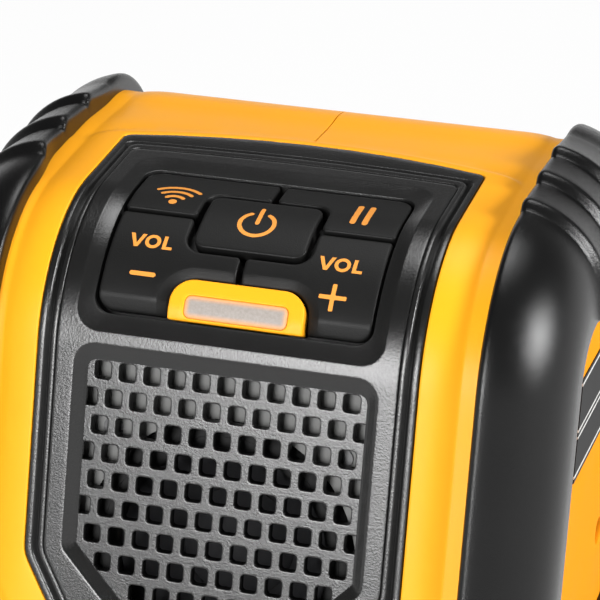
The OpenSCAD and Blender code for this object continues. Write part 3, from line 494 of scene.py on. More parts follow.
def panel_outline(side, rear, bow=1.0):
    """Outline of the panel, drawn in by one distance at the sides and by another at its rear edge, with a
    share of that edge's bow."""
    half = PANEL_HALF - side
    xs = (half, 36, 24, 12, 0, -12, -24, -36, -half)
    tops = [(x, PANEL_REAR - rear - bow * (PANEL_BOW - math.sqrt(PANEL_BOW ** 2 - x * x))) for x in xs]
    kink = PANEL_KINK - side * math.tan(TAPER / 2)
    low = PANEL_LOW - side
    foot = half - (low - kink) * math.tan(TAPER)
    corners = [(*tops[0], 2.5), *((x, w, 30.0) for x, w in tops[1:-1]), (*tops[-1], 2.5)]
    corners += [(-half, float(on_face(-kink)), 9.0), (-foot, float(on_face(-low)), 6.0)]
    corners += [(foot, float(on_face(-low)), 6.0), (half, float(on_face(-kink)), 9.0)]
    return rounded(corners, runs=[8, 8, 8, 8, 8, 8, 8, 8, 80, 26, 36, 26, 80])


def window_outline(drop=0.0):
    """Outline of the grille window, with its upper side lowered by drop."""
    top, kink, low = float(on_face(1.85 - drop)), float(on_face(-WINDOW_KINK)), float(on_face(-80.0))
    return rounded([
        (WINDOW_HALF, top, 5.5), (-WINDOW_HALF, top, 5.5), (-WINDOW_HALF, kink, 4.0),
        (-11.2, low, 4.0), (11.2, low, 4.0), (WINDOW_HALF, kink, 4.0),
    ], runs=[56, 36, 28, 12, 28, 36])


def box_outline(half, high, low, r_high, r_low, counts):
    """Rounded rectangle whose four sides always have the same number of points."""
    loop = []
    centres = [(half - r_high, high - r_high, r_high, 0), (-half + r_high, high - r_high, r_high, 90),
               (-half + r_low, low + r_low, r_low, 180), (half - r_low, low + r_low, r_low, 270)]
    for k, (cx, cw, r, a) in enumerate(centres):
        turns = [math.radians(a + 90 * i / 10) for i in range(11)]
        arc = [(cx + r * math.cos(t), cw + r * math.sin(t)) for t in turns]
        loop.extend(arc)
        nx, nw, nr, na = centres[(k + 1) % 4]
        end = (nx + nr * math.cos(math.radians(na)), nw + nr * math.sin(math.radians(na)))
        n = counts[k % 2]
        loop.extend((arc[-1][0] + (end[0] - arc[-1][0]) * i / n, arc[-1][1] + (end[1] - arc[-1][1]) * i / n)
                    for i in range(1, n))
    return np.array(loop)


def hollow_depth(outline):
    """Depth of the key hollow, which is shallower towards the rear."""
    return 1.25 - 0.37 * ease(4, 10, outline[:, 1])


def front_panel():
    """The panel with its lip and grooves, the hollow of the keys and the bevelled window. Each step is
    (drawn in at the sides, drawn in at the rear, height, share of the rear edge's bow)."""
    skin = Skin()
    steps = [
        (0.0, 0.0, -3.4, 1.0), (0.0, 0.0, -0.25, 1.0), (0.06, 0.06, -0.07, 1.0), (0.22, 0.25, 0.0, 1.0),
        (0.8, 2.5, 0.0, 0.85), (1.4, 7.9, 0.0, 0.4), (1.55, 8.15, -0.05, 0.4), (1.7, 8.4, -0.25, 0.4),
        (2.3, 8.8, -1.15, 0.4), (2.5, 9.0, -1.3, 0.4), (2.7, 9.2, -1.15, 0.4), (3.3, 9.65, -0.25, 0.4),
        (3.45, 9.85, -0.05, 0.4), (3.6, 10.05, 0.0, 0.4), (4.0, 10.6, 0.0, 0.4), (4.4, 12.3, 0.0, 0.35),
        (4.5, 12.45, -0.04, 0.35), (4.6, 12.6, -0.2, 0.35), (4.7, 12.85, -0.4, 0.35),
        (4.85, 13.1, -0.2, 0.35), (4.95, 13.25, -0.04, 0.35), (5.1, 13.45, 0.0, 0.35),
        (5.5, 14.2, 0.0, 0.35),
    ]
    rows = [skin.loop(panel_outline(side, rear, bow), d) for side, rear, d, bow in steps]
    skin.stack(rows)
    hollow = box_outline(39.4, 17.4, -46.6, 7.0, 6.0, (40, 36))
    opening = box_outline(35.75, 11.3, -41.8, 4.6, 4.6, (40, 36))
    ramp_rows = []
    slopes = ((-0.15, 0.0), (-0.05, 0.0), (0.0, 0.02), (0.03, 0.06), (0.08, 0.14), (0.5, 0.58),
              (0.86, 0.95), (0.94, 0.99))
    for t, share in slopes:
        outline = hollow + (opening - hollow) * t
        ramp_rows.append(skin.loop(outline, -share * hollow_depth(outline)))
    rim = hollow_depth(opening)
    for g, d in ((-0.1, 0.0), (-0.02, 0.05), (0.0, 0.15), (0.0, 4.2)):
        ramp_rows.append(skin.loop(inset(opening, g), -rim - d))
    skin.stack(ramp_rows)
    window_rows = []
    bevel = ((-1.3, 0.0, 0.0), (-0.4, 0.0, 0.0), (0.0, -0.02, 0.0), (0.25, -0.12, 0.05), (0.7, -0.45, 0.2),
             (2.3, -1.95, 1.1), (2.8, -2.3, 1.3), (3.1, -2.42, 1.35), (3.15, -3.4, 1.35))
    for g, d, drop in bevel:
        window_rows.append(skin.loop(inset(window_outline(drop), g), d))
    skin.stack(window_rows)
    skin.fill(rows[-1], [ramp_rows[0], window_rows[0]], lambda x, w: 0.0, 2.2)
    return skin.build("panel_face", looks["panel_plastic"])


show(front_panel(), "housing", "panel_plastic", "front_bezel")


# Grille
GRILLE_FACE, GRILLE_BACK = -2.5, -5.4
FIRST_ROW, ROW_PITCH, HOLE_PITCH = -5.2, 6.97, 6.4


def grille():
    """The plate with its staggered holes. Each row of a hole is (growth, height, mark)."""
    skin = Skin()
    window = window_outline()
    edge = inset(window, 1.2)
    rim = skin.loop(edge, GRILLE_FACE)
    skirt = skin.loop(edge, GRILLE_BACK)
    skin.band(skirt, rim)
    holes = []
    shape = rounded([(2.1, 2.25, 1.0), (-2.1, 2.25, 1.0), (-2.1, -2.25, 1.0), (2.1, -2.25, 1.0)], 1.6, 15)
    hole_rows = ((0.5, GRILLE_FACE, 0), (0.25, GRILLE_FACE, 0), (0.12, -2.53, 0), (0.03, -2.62, 0.3),
                 (0.0, -2.8, 1), (0.0, GRILLE_BACK, 1))
    for row in range(11):
        v = FIRST_ROW - ROW_PITCH * row
        reach = min(37.4, 38.2 - 2.4 - (-v + 3.7 - WINDOW_KINK) * math.tan(math.radians(44.5)))
        for k in range(-6, 7):
            x = (k + (0.5 if row % 2 else 0.0)) * HOLE_PITCH
            if abs(x) > reach:
                continue
            middle = np.array([x, float(on_face(v))])
            rows = []
            for grow, d, mark in hole_rows:
                rows.append(skin.loop(middle + shape * (1 + grow / 2.2), d, mark))
            skin.stack(rows)
            holes.append(rows[0])
    skin.fill(rim, holes, lambda x, w: GRILLE_FACE, 3.0)
    return skin.build("grille_face", grille_look())


def grille_look():
    """The panel's plastic, duller down inside the holes."""
    material = looks["panel_plastic"].copy()
    material.name = "grille_plastic"
    tree = material.node_tree
    bsdf = tree.nodes["Principled BSDF"]
    mark = add(tree, "Attribute")
    mark.attribute_name = "mark"
    shine = add(tree, "MapRange", To_Min=bsdf.inputs["Specular IOR Level"].default_value, To_Max=0.05)
    tree.links.new(mark.outputs["Fac"], shine.inputs["Value"])
    tree.links.new(shine.outputs["Result"], bsdf.inputs["Specular IOR Level"])
    return material


show(grille(), "housing", "panel_plastic", "speaker_grille")


# Keys
BAR_X = 0.8
KEY_TOP, KEY_FOOT = -1.3, -5.3
KEY_SIDE = 35
KEY_WAIST = 16.2
ARCH_HALF, ARCH_TOP, ARCH_R = 17.85, 29.1, 6.4


def key_height(s):
    """Height of the key tops, which bend down at the front edge."""
    over = np.maximum(np.asarray(s, float) - 35.2, 0)
    return KEY_TOP - np.where(over < 1.4, 0.18 * over ** 2, 0.353 + 0.5 * (over - 1.4))


def key(name, corners, node, crease=None, lines=()):
    """One key: corners are (x, s, radius) on the key tops, crease gives what a chamfer takes off, and the
    mesh follows lines."""
    skin = Skin()
    flat = rounded([(x, -s, r) for x, s, r in corners], 1.0, 12)

    def top(x, s):
        return key_height(s) - (crease(x, s) if crease else 0.0)

    def height(x, w):
        return float(top(x, -w * KEY_R / BROW_R if w < 0 else -w))

    rows = []
    steps = ((0.0, -3.4), (0.0, -0.6), (0.05, -0.33), (0.18, -0.13), (0.4, -0.03), (0.7, 0.0), (1.1, 0.0))
    for g, d in steps:
        x, w = inset(flat, g).T
        mapped = np.stack([x, on_keys(-w)], axis=1)
        rows.append(skin.loop(mapped, np.maximum(top(x, -w) + d, KEY_FOOT)))
    skin.stack(rows)
    skin.fill(rows[-1], [], height, 1.3, lines)
    show(skin.build(name + "_cap", looks["key_rubber"]), name, "key_rubber", node)


def arch_edge(x, s):
    """Chamfer of the volume keys round the light bar."""
    dx = np.abs(x - BAR_X) - (ARCH_HALF - ARCH_R)
    ds = (ARCH_TOP + ARCH_R) - s
    corner = np.hypot(np.maximum(dx, 0), np.maximum(ds, 0)) - ARCH_R
    flat_part = np.maximum(dx, ds) - ARCH_R
    gap = np.where((dx > 0) & (ds > 0), corner, flat_part)
    return 1.15 * np.clip(1 - gap / 2.9, 0, 1)


def arch_line(side, gap):
    """Line along that chamfer's upper edge, on one side."""
    half, top, r = ARCH_HALF + gap, ARCH_TOP - gap, ARCH_R + gap
    line = [(half, s) for s in np.linspace(38.4, top + r, 4)[:-1]]
    turns = np.radians(np.linspace(0, 90, 12))
    line += [(half - r + r * math.cos(a), top + r - r * math.sin(a)) for a in turns]
    line += [(x, top) for x in np.linspace(half - r, 3.6, 8)[1:]]
    return np.array([(BAR_X + side * x, float(on_keys(s))) for x, s in line])


def key_lines(side):
    """Lines along the chamfer and along the bend at the front of a volume key."""
    lines = [arch_line(side, g) for g in (2.8, 3.0)]
    xs = [side * x + (BAR_X if x < 21 else 0) for x in np.linspace(19.3, 33.6, 12)]
    for s in (35.2, 35.7, 36.2, 36.6):
        lines.append(np.array([(x, float(on_keys(s))) for x in xs]))
    return lines


def upper_key(side, inner):
    """Corners of a rear key, whose inner edge is at x = inner."""
    edge, waist = side * KEY_SIDE, side * KEY_WAIST
    return [(edge, -10.6, 4), (inner, -10.6, 0.9), (inner, -2.0, 0.9), (waist, -2.0, 4.5),
            (waist, 9.35, 1.2), (edge, 9.35, 1.0)]


def lower_key(side, inner):
    """Corners of a volume key, whose inner edge is at x = inner."""
    edge, waist = side * KEY_SIDE, side * KEY_WAIST
    arch = BAR_X + side * ARCH_HALF
    return [(edge, 11.05, 1.0), (waist, 11.05, 1.2), (waist, 21.8, 4.5), (inner, 21.8, 1.0),
            (inner, ARCH_TOP, 0.6), (arch, ARCH_TOP, ARCH_R), (arch, 39.9, 0.7), (edge, 39.9, 4)]


power_corners = [(-14.5, -0.3, 3), (14.5, -0.3, 3), (14.5, 20.1, 3), (-14.5, 20.1, 3)]
key("wireless_button", upper_key(-1, -0.2), "wireless_key")
key("pause_button", upper_key(1, 1.5), "pause_key")
key("power_button", power_corners, "power_key")
key("volume_down_button", lower_key(-1, -1.3), "volume_down_key", arch_edge, key_lines(-1))
key("volume_up_button", lower_key(1, 0.2), "volume_up_key", arch_edge, key_lines(1))


# Key legends
SIGN_TOP = -1.25


def stroke(points, width):
    """Outline of a round-ended stroke along points."""
    p = np.array(points, float)
    ahead = np.diff(p, axis=0)
    ahead /= np.linalg.norm(ahead, axis=1)[:, None]
    tangent = np.vstack([ahead[:1], ahead[:-1] + ahead[1:], ahead[-1:]])
    tangent /= np.linalg.norm(tangent, axis=1)[:, None]
    side = np.stack([-tangent[:, 1], tangent[:, 0]], axis=1)
    bend = np.ones(len(p))
    bend[1:-1] = np.clip(np.sum(side[1:-1] * np.stack([-ahead[1:, 1], ahead[1:, 0]], axis=1), axis=1), 0.5, 1)
    half = width / 2
    left = p + side * half / bend[:, None]
    right = p - side * half / bend[:, None]

    def cap(middle, direction):
        a = math.atan2(direction[1], direction[0])
        turns = np.linspace(math.pi / 2, -math.pi / 2, 9)[1:-1]
        return [middle + half * np.array([math.cos(a + t), math.sin(a + t)]) for t in turns]

    end = cap(p[-1], tangent[-1])
    start = cap(p[0], -tangent[0])
    return np.array([*left, *end, *right[::-1], *start])


def dense(ring, step):
    """The same outline with no side longer than step."""
    ring = np.asarray(ring, float)
    points = []
    for p, q in zip(ring, np.roll(ring, -1, axis=0)):
        pieces = max(1, int(math.ceil(np.linalg.norm(q - p) / step)))
        points.extend(p + (q - p) * k / pieces for k in range(pieces))
    return np.array(points)


def arc_points(cx, cs, r, a0, a1, count=24):
    turns = [math.radians(a) for a in np.linspace(a0, a1, count)]
    return [(cx + r * math.sin(a), cs - r * math.cos(a)) for a in turns]


def legend(name, body, shapes):
    """Printed signs on a key: shapes are (outline, holes) in (x, s)."""
    skin = Skin()
    for outline, holes in shapes:
        rings = []
        for ring in (outline, *holes):
            ring = dense(ring, 0.7)
            flat = np.stack([ring[:, 0], on_keys(ring[:, 1])], axis=1)
            rings.append(skin.loop(anticlockwise(flat), SIGN_TOP))
        skin.fill(rings[0], rings[1:], lambda x, w: SIGN_TOP, 1.2)
    show(skin.build(name, legend_print), body, "key_rubber")


def ellipse(cx, cs, rx, rs, count=28):
    turns = [2 * math.pi * i / count for i in range(count)]
    return [(cx + rx * math.cos(a), cs + rs * math.sin(a)) for a in turns]


def letters(cx, cs):
    """The three letters over the volume signs, in plain heavy strokes."""
    def moved(ring):
        return [(cx + x, cs + s) for x, s in ring]

    vee = [(-5.7, -2.0), (-4.65, -2.0), (-3.6, 0.9), (-2.55, -2.0), (-1.5, -2.0), (-3.1, 2.0), (-4.1, 2.0)]
    ring = ellipse(0.5, 0.0, 2.05, 2.05)
    hole = ellipse(0.5, 0.0, 1.12, 1.15)
    ell = [(3.15, -2.0), (4.1, -2.0), (4.1, 1.15), (5.7, 1.15), (5.7, 2.0), (3.15, 2.0)]
    return [(moved(vee), []), (moved(ring), [moved(hole)]), (moved(ell), [])]


waves = [(stroke(arc_points(-24.0, 5.6, r, -42, 42), 1.15), []) for r in (3.2, 5.7, 8.2)]
waves.append((ellipse(-24.0, 5.2, 1.1, 1.1), []))
legend("wireless_sign", "wireless_button", waves)
legend("pause_sign", "pause_button", [(stroke([(x, -4.1), (x, 4.7)], 1.5), []) for x in (22.8, 25.9)])
legend("power_sign", "power_button", [
    (stroke(arc_points(-0.3, 10.2, 4.4, 32, 328, 40), 1.15), []),
    (stroke([(-0.3, 4.0), (-0.3, 10.0)], 1.15), [])])
legend("volume_down_sign", "volume_down_button", [
    *letters(-24.9, 20.4), (stroke([(-27.6, 29.7), (-22.0, 29.7)], 1.2), [])])
plus = [(-3.5, -0.55), (-0.55, -0.55), (-0.55, -3.6), (0.55, -3.6), (0.55, -0.55), (3.5, -0.55),
        (3.5, 0.55), (0.55, 0.55), (0.55, 3.6), (-0.55, 3.6), (-0.55, 0.55), (-3.5, 0.55)]
plus_ring = rounded([(24.0 + x, 29.6 + s, 0.25) for x, s in plus], 2.0, 30)
legend("volume_up_sign", "volume_up_button", [*letters(24.0, 20.4), (plus_ring, [])])


# Light bar
def bar_height(outline):
    """Height of the light bar's face, which bends down at its front edge."""
    return -0.6 - 0.8 * np.clip((-outline[:, 1] * KEY_R / BROW_R - 36.6) / 3.7, 0, 1) ** 2


def bar_box(half, top, low, r_top, r_low, bend):
    """Outline on the light bar, between two lengths along the key tops."""
    corners = [(half, -top, r_top), (-half, -top, r_top), (-half, -low, r_low), (half, -low, r_low)]
    return rounded([(BAR_X + x, s, r) for x, s, r in corners], 1.0, bend)


def bar_row(skin, outline, g, d, mark=0.0):
    outline = inset(outline, g)
    mapped = np.stack([outline[:, 0], on_keys(-outline[:, 1])], axis=1)
    return skin.loop(mapped, bar_height(mapped) + d, mark)


def light_bar():
    """The arched yellow frame and the lens that sits in it."""
    skin = Skin()
    flat = bar_box(17.3, 29.6, 40.3, 6.0, 0.6, 9)
    rows = [bar_row(skin, flat, g, d) for g, d in (
        (0.0, -3.9), (0.0, -0.6), (0.05, -0.28), (0.18, -0.08), (0.36, 0.0), (0.45, 0.0))]
    skin.stack(rows)
    lens = bar_box(13.2, 33.8, 39.45, 1.6, 1.6, 15)
    hole = [bar_row(skin, lens, g, d) for g, d in (
        (-0.35, 0.0), (-0.22, -0.03), (-0.1, -0.12), (-0.05, -0.3), (-0.05, -3.9))]
    skin.stack(hole)
    skin.fill(rows[-1], [hole[0]], lambda x, w: float(bar_height(np.array([[x, w]]))[0]), 1.0)
    show(skin.build("bar_face", looks["yellow_shell"]), "housing", "yellow_shell", "light_bar_frame")
    window = Skin()
    # The marks set how strongly each row at the lens edge takes the painted orange glow
    rows = [bar_row(window, lens, g, d, mark) for g, d, mark in (
        (0.0, -3.8, 1.0), (0.0, -0.4, 1.0), (0.1, -0.2, 1.0), (0.35, -0.12, 0.8), (0.9, -0.1, 0.3),
        (1.5, -0.1, 0.0))]
    window.stack(rows)
    window.fill(rows[-1], [], lambda x, w: float(bar_height(np.array([[x, w]]))[0]) - 0.1, 1.0)
    show(window.build("bar_lens", lens_look()), "housing", "frosted_lens", "light_bar_lens")


def lens_look():
    """Frosted plastic with an orange glow painted into its colour at the edge, next to its yellow frame."""
    material, tree, bsdf = shader("frosted_lens_painted_glow")
    mark = add(tree, "Attribute")
    mark.attribute_name = "mark"
    speckle = noise(tree, 1300.0, 3.0, 0.7)
    frost = ramp(tree, speckle, (0.28, 0.25, 0.225), (0.335, 0.3, 0.275), 0.35, 0.65)
    mix = add(tree, "Mix")
    mix.data_type = "RGBA"
    tree.links.new(mark.outputs["Fac"], mix.inputs[0])
    tree.links.new(frost, mix.inputs[6])
    # Painted orange glow at the lens edge, mixed in by the mark
    mix.inputs[7].default_value = (0.8, 0.36, 0.12, 1)
    tree.links.new(mix.outputs[2], bsdf.inputs["Base Color"])
    bump(tree, bsdf, speckle, 0.1)
    set_gloss(bsdf, 0.5, 0.3)
    return material


light_bar()


# Bumpers
BUMPER_X, BUMPER_D, BUMPER_R = 60, -20.5, 24


def rear_drop(w):
    """How far the skin sinks towards the rear of the top."""
    return 1.6 * ease(36, 58, w) * (1 - ease(78, 110, w))


def bumper(side):
    """One rubber loop, with its overlapping ribs, carried round the body. A point of the section is
    (height, x, share of a rib's lift in height, share in x). The left inner wall leans in at the panel."""
    arc = [math.radians(a) for a in np.linspace(13.0, 90.0, 20)]
    section = [(-5.0, 63.0, 0.0, 0.0), (-1.0, 63.0, 0.0, 0.0), (1.1, 63.0, 0.8, 0.0), (1.75, 63.1, 1.0, 0.0),
               (2.3, 63.38, 1.0, 0.0), (2.68, 63.8, 1.0, 0.0), (2.9, 64.3, 1.0, 0.0), (2.95, 64.8, 1.0, 0.0)]
    for c, s in [(math.cos(a), math.sin(a)) for a in arc]:
        section.append((BUMPER_D + BUMPER_R * c, BUMPER_X + BUMPER_R * s, c, s))
    section += [(-22.5, 84.0, 0, 0.9), (-24.6, 84.0, 0, 0.6), (-25.3, 83.7, 0, 0.3), (-25.6, 83.0, 0, 0),
                (-25.6, 80.6, 0, 0)]
    section = np.array(section)
    fronts = [-6.2, -24.0, -41.8]
    marks = set(np.round(np.arange(0, ROUND, 3.0), 3))
    nose = ((2.0, 0.0), (1.6, 0.1), (0.9, 0.75), (0.2, 1.4), (-0.4, 1.82), (-1.0, 1.98), (-1.8, 2.0))
    lift = []
    for front in fronts:
        for ahead, h in nose:
            lift.append((front + ahead, h))
        for back in (-4.0, -8.0, -12.0, -15.0):
            lift.append((front + back, 2.0 + 1.75 * (back + 0.6) / 15.7))
    lift.append((fronts[-1] - 16.2, 0.22))
    lift.append((fronts[-1] - 17.0, 0.0))
    lift.sort()
    lift_s = np.array([a for a, _ in lift])
    lift_h = np.array([b for _, b in lift])
    rib_s = np.mod(lift_s, ROUND)
    stations = sorted(set(rib_s) | {m for m in marks if np.min(np.abs(rib_s - m)) > 0.8})
    points = []
    for s in stations:
        back = s - ROUND if s > ROUND / 2 else s
        h = float(np.interp(back, lift_s, lift_h, left=0.0, right=0.0))
        d = section[:, 0] + h * section[:, 2] - rear_drop(-back)
        x = section[:, 1] + h * section[:, 3]
        if side < 0:
            lean = 2.2 * ease(-120, -60, -back) * (1 - ease(-4, 16, -back))
            x = x - np.clip((66.0 - section[:, 1]) / 2.0, 0, 1) * lean
        row = place(side * x, -s, d)
        row[:, 2] = np.maximum(row[:, 2], 0.0)
        points.append(row)
    width = len(section)
    faces = []
    for i in range(len(stations)):
        j = (i + 1) % len(stations)
        for k in range(width - 1):
            quad = (i * width + k, j * width + k, j * width + k + 1, i * width + k + 1)
            faces.append(quad if side < 0 else quad[::-1])
    name = "left" if side < 0 else "right"
    piece = build(name + "_rubber", np.concatenate(points), faces, looks["bumper_rubber"], 50)
    show(piece, "housing", "bumper_rubber", name + "_bumper")


bumper(-1)
bumper(1)


# Yellow shells
RAIL_PROFILE = np.array([
    (49.5, 0.0), (51.0, -0.06), (52.5, -0.2), (54.0, -0.44), (55.4, -0.8), (56.6, -1.24), (57.5, -1.68),
    (58.1, -2.0), (58.5, -2.14), (58.9, -2.18), (60.5, -2.14), (62.8, -2.0), (65.0, -2.0),
])
FRAME_STEP = 0.8
FRAME_RIM = 4.2
FRAME_HALF, FRAME_KINK, FRAME_LOW = 60, 56.84, 94
CORNER_X, CORNER_W, CORNER_R = 55, 27.08, 4.7
SEAM_HALF, SEAM_DEPTH = 0.18, 1.5
SEAM_TOP, SEAM_LOW = 40.9, -141
PORT_WINDOW, BAY_WINDOW = (26.3, 122.3, 103.7), (40.8, 92.8, 32.2)


def frame_rear(x):
    """The w of the raised frame's rear edge."""
    return PANEL_REAR - PANEL_BOW + math.sqrt((PANEL_BOW + FRAME_RIM) ** 2 - x * x)


def frame_gap(x, w):
    """How far a place lies outside the raised frame round the panel."""
    ax = abs(x)
    v = -(w + BROW_LEN)
    rear = w - frame_rear(x)
    corner = -9.0
    if ax > CORNER_X and w > CORNER_W:
        corner = math.hypot(ax - CORNER_X, w - CORNER_W) - CORNER_R
    side = (ax - FRAME_HALF + (v - FRAME_KINK) * math.tan(TAPER)) * math.cos(TAPER)
    return max(rear, corner, side, v - FRAME_LOW)


def shell_height(x, w):
    """Height of the yellow skin: raised frame, rounded rails that fall less on the top and the rear,
    gutters and the seam between the halves."""
    ax = abs(x)
    less = 0.35 * ease(-30, 10, w) * (1 - ease(240, 300, w))
    rail = float(np.interp(ax, RAIL_PROFILE[:, 0], RAIL_PROFILE[:, 1]) * (1 - less))
    frame_part = -FRAME_STEP * float(ease(-1.9, 0.6, frame_gap(x, w)))
    seam = -SEAM_DEPTH * max(0.0, 1 - ax / SEAM_HALF) if w > SEAM_TOP or w < SEAM_LOW else 0.0
    return frame_part * max(0.0, 1 + rail / 2) + rail + seam - float(rear_drop(w))


def offset_line(line, g):
    """A line of places moved sideways by g."""
    line = np.asarray(line, float)
    ahead = np.gradient(line, axis=0)
    ahead /= np.linalg.norm(ahead, axis=1)[:, None]
    return line + g * np.stack([-ahead[:, 1], ahead[:, 0]], axis=1)


def frame_lines():
    """Lines along the raised frame's rear and lower edges."""
    turns = np.radians(np.linspace(8, 70, 9))
    corner = [(CORNER_X + CORNER_R * math.cos(a), CORNER_W + CORNER_R * math.sin(a)) for a in turns]
    bow = [(x, frame_rear(x)) for x in np.arange(55, -56, -2.2)]
    rear = [*corner, *bow, *((-x, w) for x, w in corner[::-1])]
    drops = np.linspace(3, 37.1, 18)
    slope = [(FRAME_HALF - t * math.tan(TAPER), float(on_face(-FRAME_KINK - t))) for t in drops]
    foot = slope[-1][0]
    low = [(x, slope[-1][1]) for x in np.linspace(foot, -foot, 30)[1:-1]]
    lower = [*slope, *low, *((-x, w) for x, w in slope[::-1])]
    steps = (-1.9, -1.3, -0.7, -0.1, 0.6)
    return [offset_line(rear, -g) for g in steps] + [offset_line(lower, g) for g in steps]


def shells():
    """The two yellow halves, cut from one skin at the seam, and their flat sides."""
    rail_xs = [x for x, _ in RAIL_PROFILE[:-1]]
    seam_xs = (-SEAM_HALF, 0.0, SEAM_HALF)
    xs = sorted({*rail_xs, *(-x for x in rail_xs), *seam_xs, *np.arange(-48, 49, 3.0)})
    skin = Skin()
    front_low, front_high, round_end = -165.0, 58.0, ROUND - 165.0

    def frame_loop(low, high):
        ws = np.linspace(low, high, int((high - low) / 2.5) + 1)
        points = [(x, low) for x in [-65.0, *xs]] + [(65.0, w) for w in ws]
        points += [(x, high) for x in [*xs[::-1], -65.0]] + [(-65.0, w) for w in ws[::-1][1:-1]]
        points = np.array(points)
        return skin.loop(points, np.array([shell_height(x, w) for x, w in points]))

    def long_lines(low, high, seams):
        ws = np.linspace(low, high, int((high - low) / 2.5) + 1)
        lines = [np.array([(s * x, w) for w in ws]) for x in rail_xs for s in (-1, 1)]
        for a, b in seams:
            steps = np.linspace(a, b, int((b - a) / 2.5) + 2)
            lines += [np.array([(x, w) for w in steps]) for x in seam_xs]
        return lines

    front = frame_loop(front_low, front_high)
    rows = []
    for g, d in ((0.8, 0.0), (0.55, -0.04), (0.4, -0.16), (0.32, -0.4), (0.3, -0.8), (0.3, -3.9)):
        rows.append(skin.loop(panel_outline(-g, -g), d))
    skin.stack(rows)
    lines = long_lines(front_low, front_high, [(41.0, front_high), (front_low, -142.0)]) + frame_lines()
    skin.fill(front, [rows[0]], shell_height, 3.0, lines)
    rear = frame_loop(front_high, round_end)
    windows = []
    rear_top = -PATH[5][2] + ROUND
    for half, high, low in (PORT_WINDOW, BAY_WINDOW):
        w0, w1 = rear_top + CROWN[1] - high, rear_top + CROWN[1] - low
        edge = rounded([(half, w0, 1.0), (-half, w0, 1.0), (-half, w1, 1.0), (half, w1, 1.0)], 3.0)
        hole = skin.loop(edge, -FRAME_STEP)
        skin.band(hole, skin.loop(edge, -3.8))
        windows.append((hole, w0, w1))
    gaps = [(front_high, windows[0][1] - 0.5), (windows[0][2] + 0.5, windows[1][1] - 0.5),
            (windows[1][2] + 0.5, round_end)]
    skin.fill(rear, [w[0] for w in windows], shell_height, 3.0, long_lines(front_high, round_end, gaps))
    points = np.array(skin.points)
    for side, name in ((-1, "left"), (1, "right")):
        faces = [f for f in skin.faces if points[list(f), 0].mean() * side > 0]
        used = sorted({i for f in faces for i in f})
        number = {old: new for new, old in enumerate(used)}
        faces = [tuple(number[i] for i in f) for f in faces]
        half = build(name + "_yellow", points[used], faces, looks["yellow_shell"], 50)
        show(half, "housing", "yellow_shell", name + "_shell")
        show(side_plate(side, name), "housing", "yellow_shell")


def side_plate(side, name):
    """The flat yellow side inside a bumper, with the screw bores on the right half. Its yellow is painted
    darker than the shell's, as shade.
    """
    ring = place(0.0, np.arange(0, ROUND, 2.0), -25.8)[:, 1:]
    ring[:, 0] *= side
    ring = anticlockwise(ring)

    def spot(u, v, d):
        return np.stack(np.broadcast_arrays(side * (SIDE_X + np.asarray(d, float)), side * u, v), axis=-1)

    skin = Skin(spot)
    edge = ((0, -4.0), (0, -0.45), (0.08, -0.18), (0.25, -0.04), (0.6, 0.0), (0.9, 0.0))
    rows = [skin.loop(inset(ring, g), d) for g, d in edge]
    skin.stack(rows)
    holes = []
    bores = [(TOE[0], TOE[1] - 1), (HEEL[0] - 6, HEEL[1] + 3), (CROWN[0] - 5, CROWN[1] - 7),
             (BROW[0] + 34, TOP_Z - 34), (BROW[0] + 36, BROW[1] - 63)]
    for y, z in bores if side > 0 else []:
        turn = np.linspace(0, 2 * math.pi, 33)[:-1]
        circle = np.stack([np.cos(turn), np.sin(turn)], axis=1)
        depths = ((4.1, 0.0), (3.75, -0.08), (3.55, -0.4), (3.5, -1.0), (3.5, -64.0))
        bore = [skin.loop(np.array([y, z]) + circle * r, d) for r, d in depths]
        skin.stack(bore)
        holes.append(bore[0])
    skin.fill(rows[-1], holes, lambda u, v: 0.0, 6.0)
    return skin.build(name + "_side", shaded_side_yellow)


shells()


# Loudspeaker surround, in two rings that part along the crest of its roll
DRIVER_V = -50.0
ROLL_R = 31.0
ROLL_OUT = 3.9
ROLL_IN = 3.1
ROLL_FOOT = -11.7
FLANGE_R, FLANGE_T = 38.8, 0.5


def roll_arc(r, a0, a1):
    """Points (radius, depth) along the roll's section, between two angles in degrees."""
    turns = np.radians(np.linspace(a0, a1, 15))
    return [(ROLL_R + r * math.cos(a), ROLL_FOOT + r * math.sin(a)) for a in turns]


def ring_piece(name, profile):
    """A ring turned round the driver's axis from anticlockwise (radius, depth) points."""
    middle = place(0.0, on_face(DRIVER_V), 0.0)
    along = np.array([0.0, FACE_SIN, FACE_COS])
    out = np.array([0.0, -FACE_COS, FACE_SIN])
    across = np.array([1.0, 0.0, 0.0])
    turns = np.linspace(0, 2 * math.pi, 97)[:-1]
    spokes = [across * math.cos(a) + along * math.sin(a) for a in turns]
    points = [middle + r * spoke + d * out for spoke in spokes for r, d in profile]
    count = len(profile)
    faces = []
    for j in range(len(turns)):
        after = (j + 1) % len(turns)
        for i in range(count):
            k = (i + 1) % count
            faces.append((j * count + i, after * count + i, after * count + k, j * count + k))
    return build(name, points, faces, looks["gasket_foam"], 40)


inner_ring = roll_arc(ROLL_OUT, 90.6, 180) + roll_arc(ROLL_IN, 180, 90.6)
outer_ring = [(FLANGE_R, ROLL_FOOT), (FLANGE_R, ROLL_FOOT + FLANGE_T)]
outer_ring += roll_arc(ROLL_OUT, 7.4, 89.4) + roll_arc(ROLL_IN, 89.4, 0)
show(ring_piece("roll_outer", outer_ring), "housing", "gasket_foam", "driver_surround")
show(ring_piece("roll_inner", inner_ring), "cone", "gasket_foam")


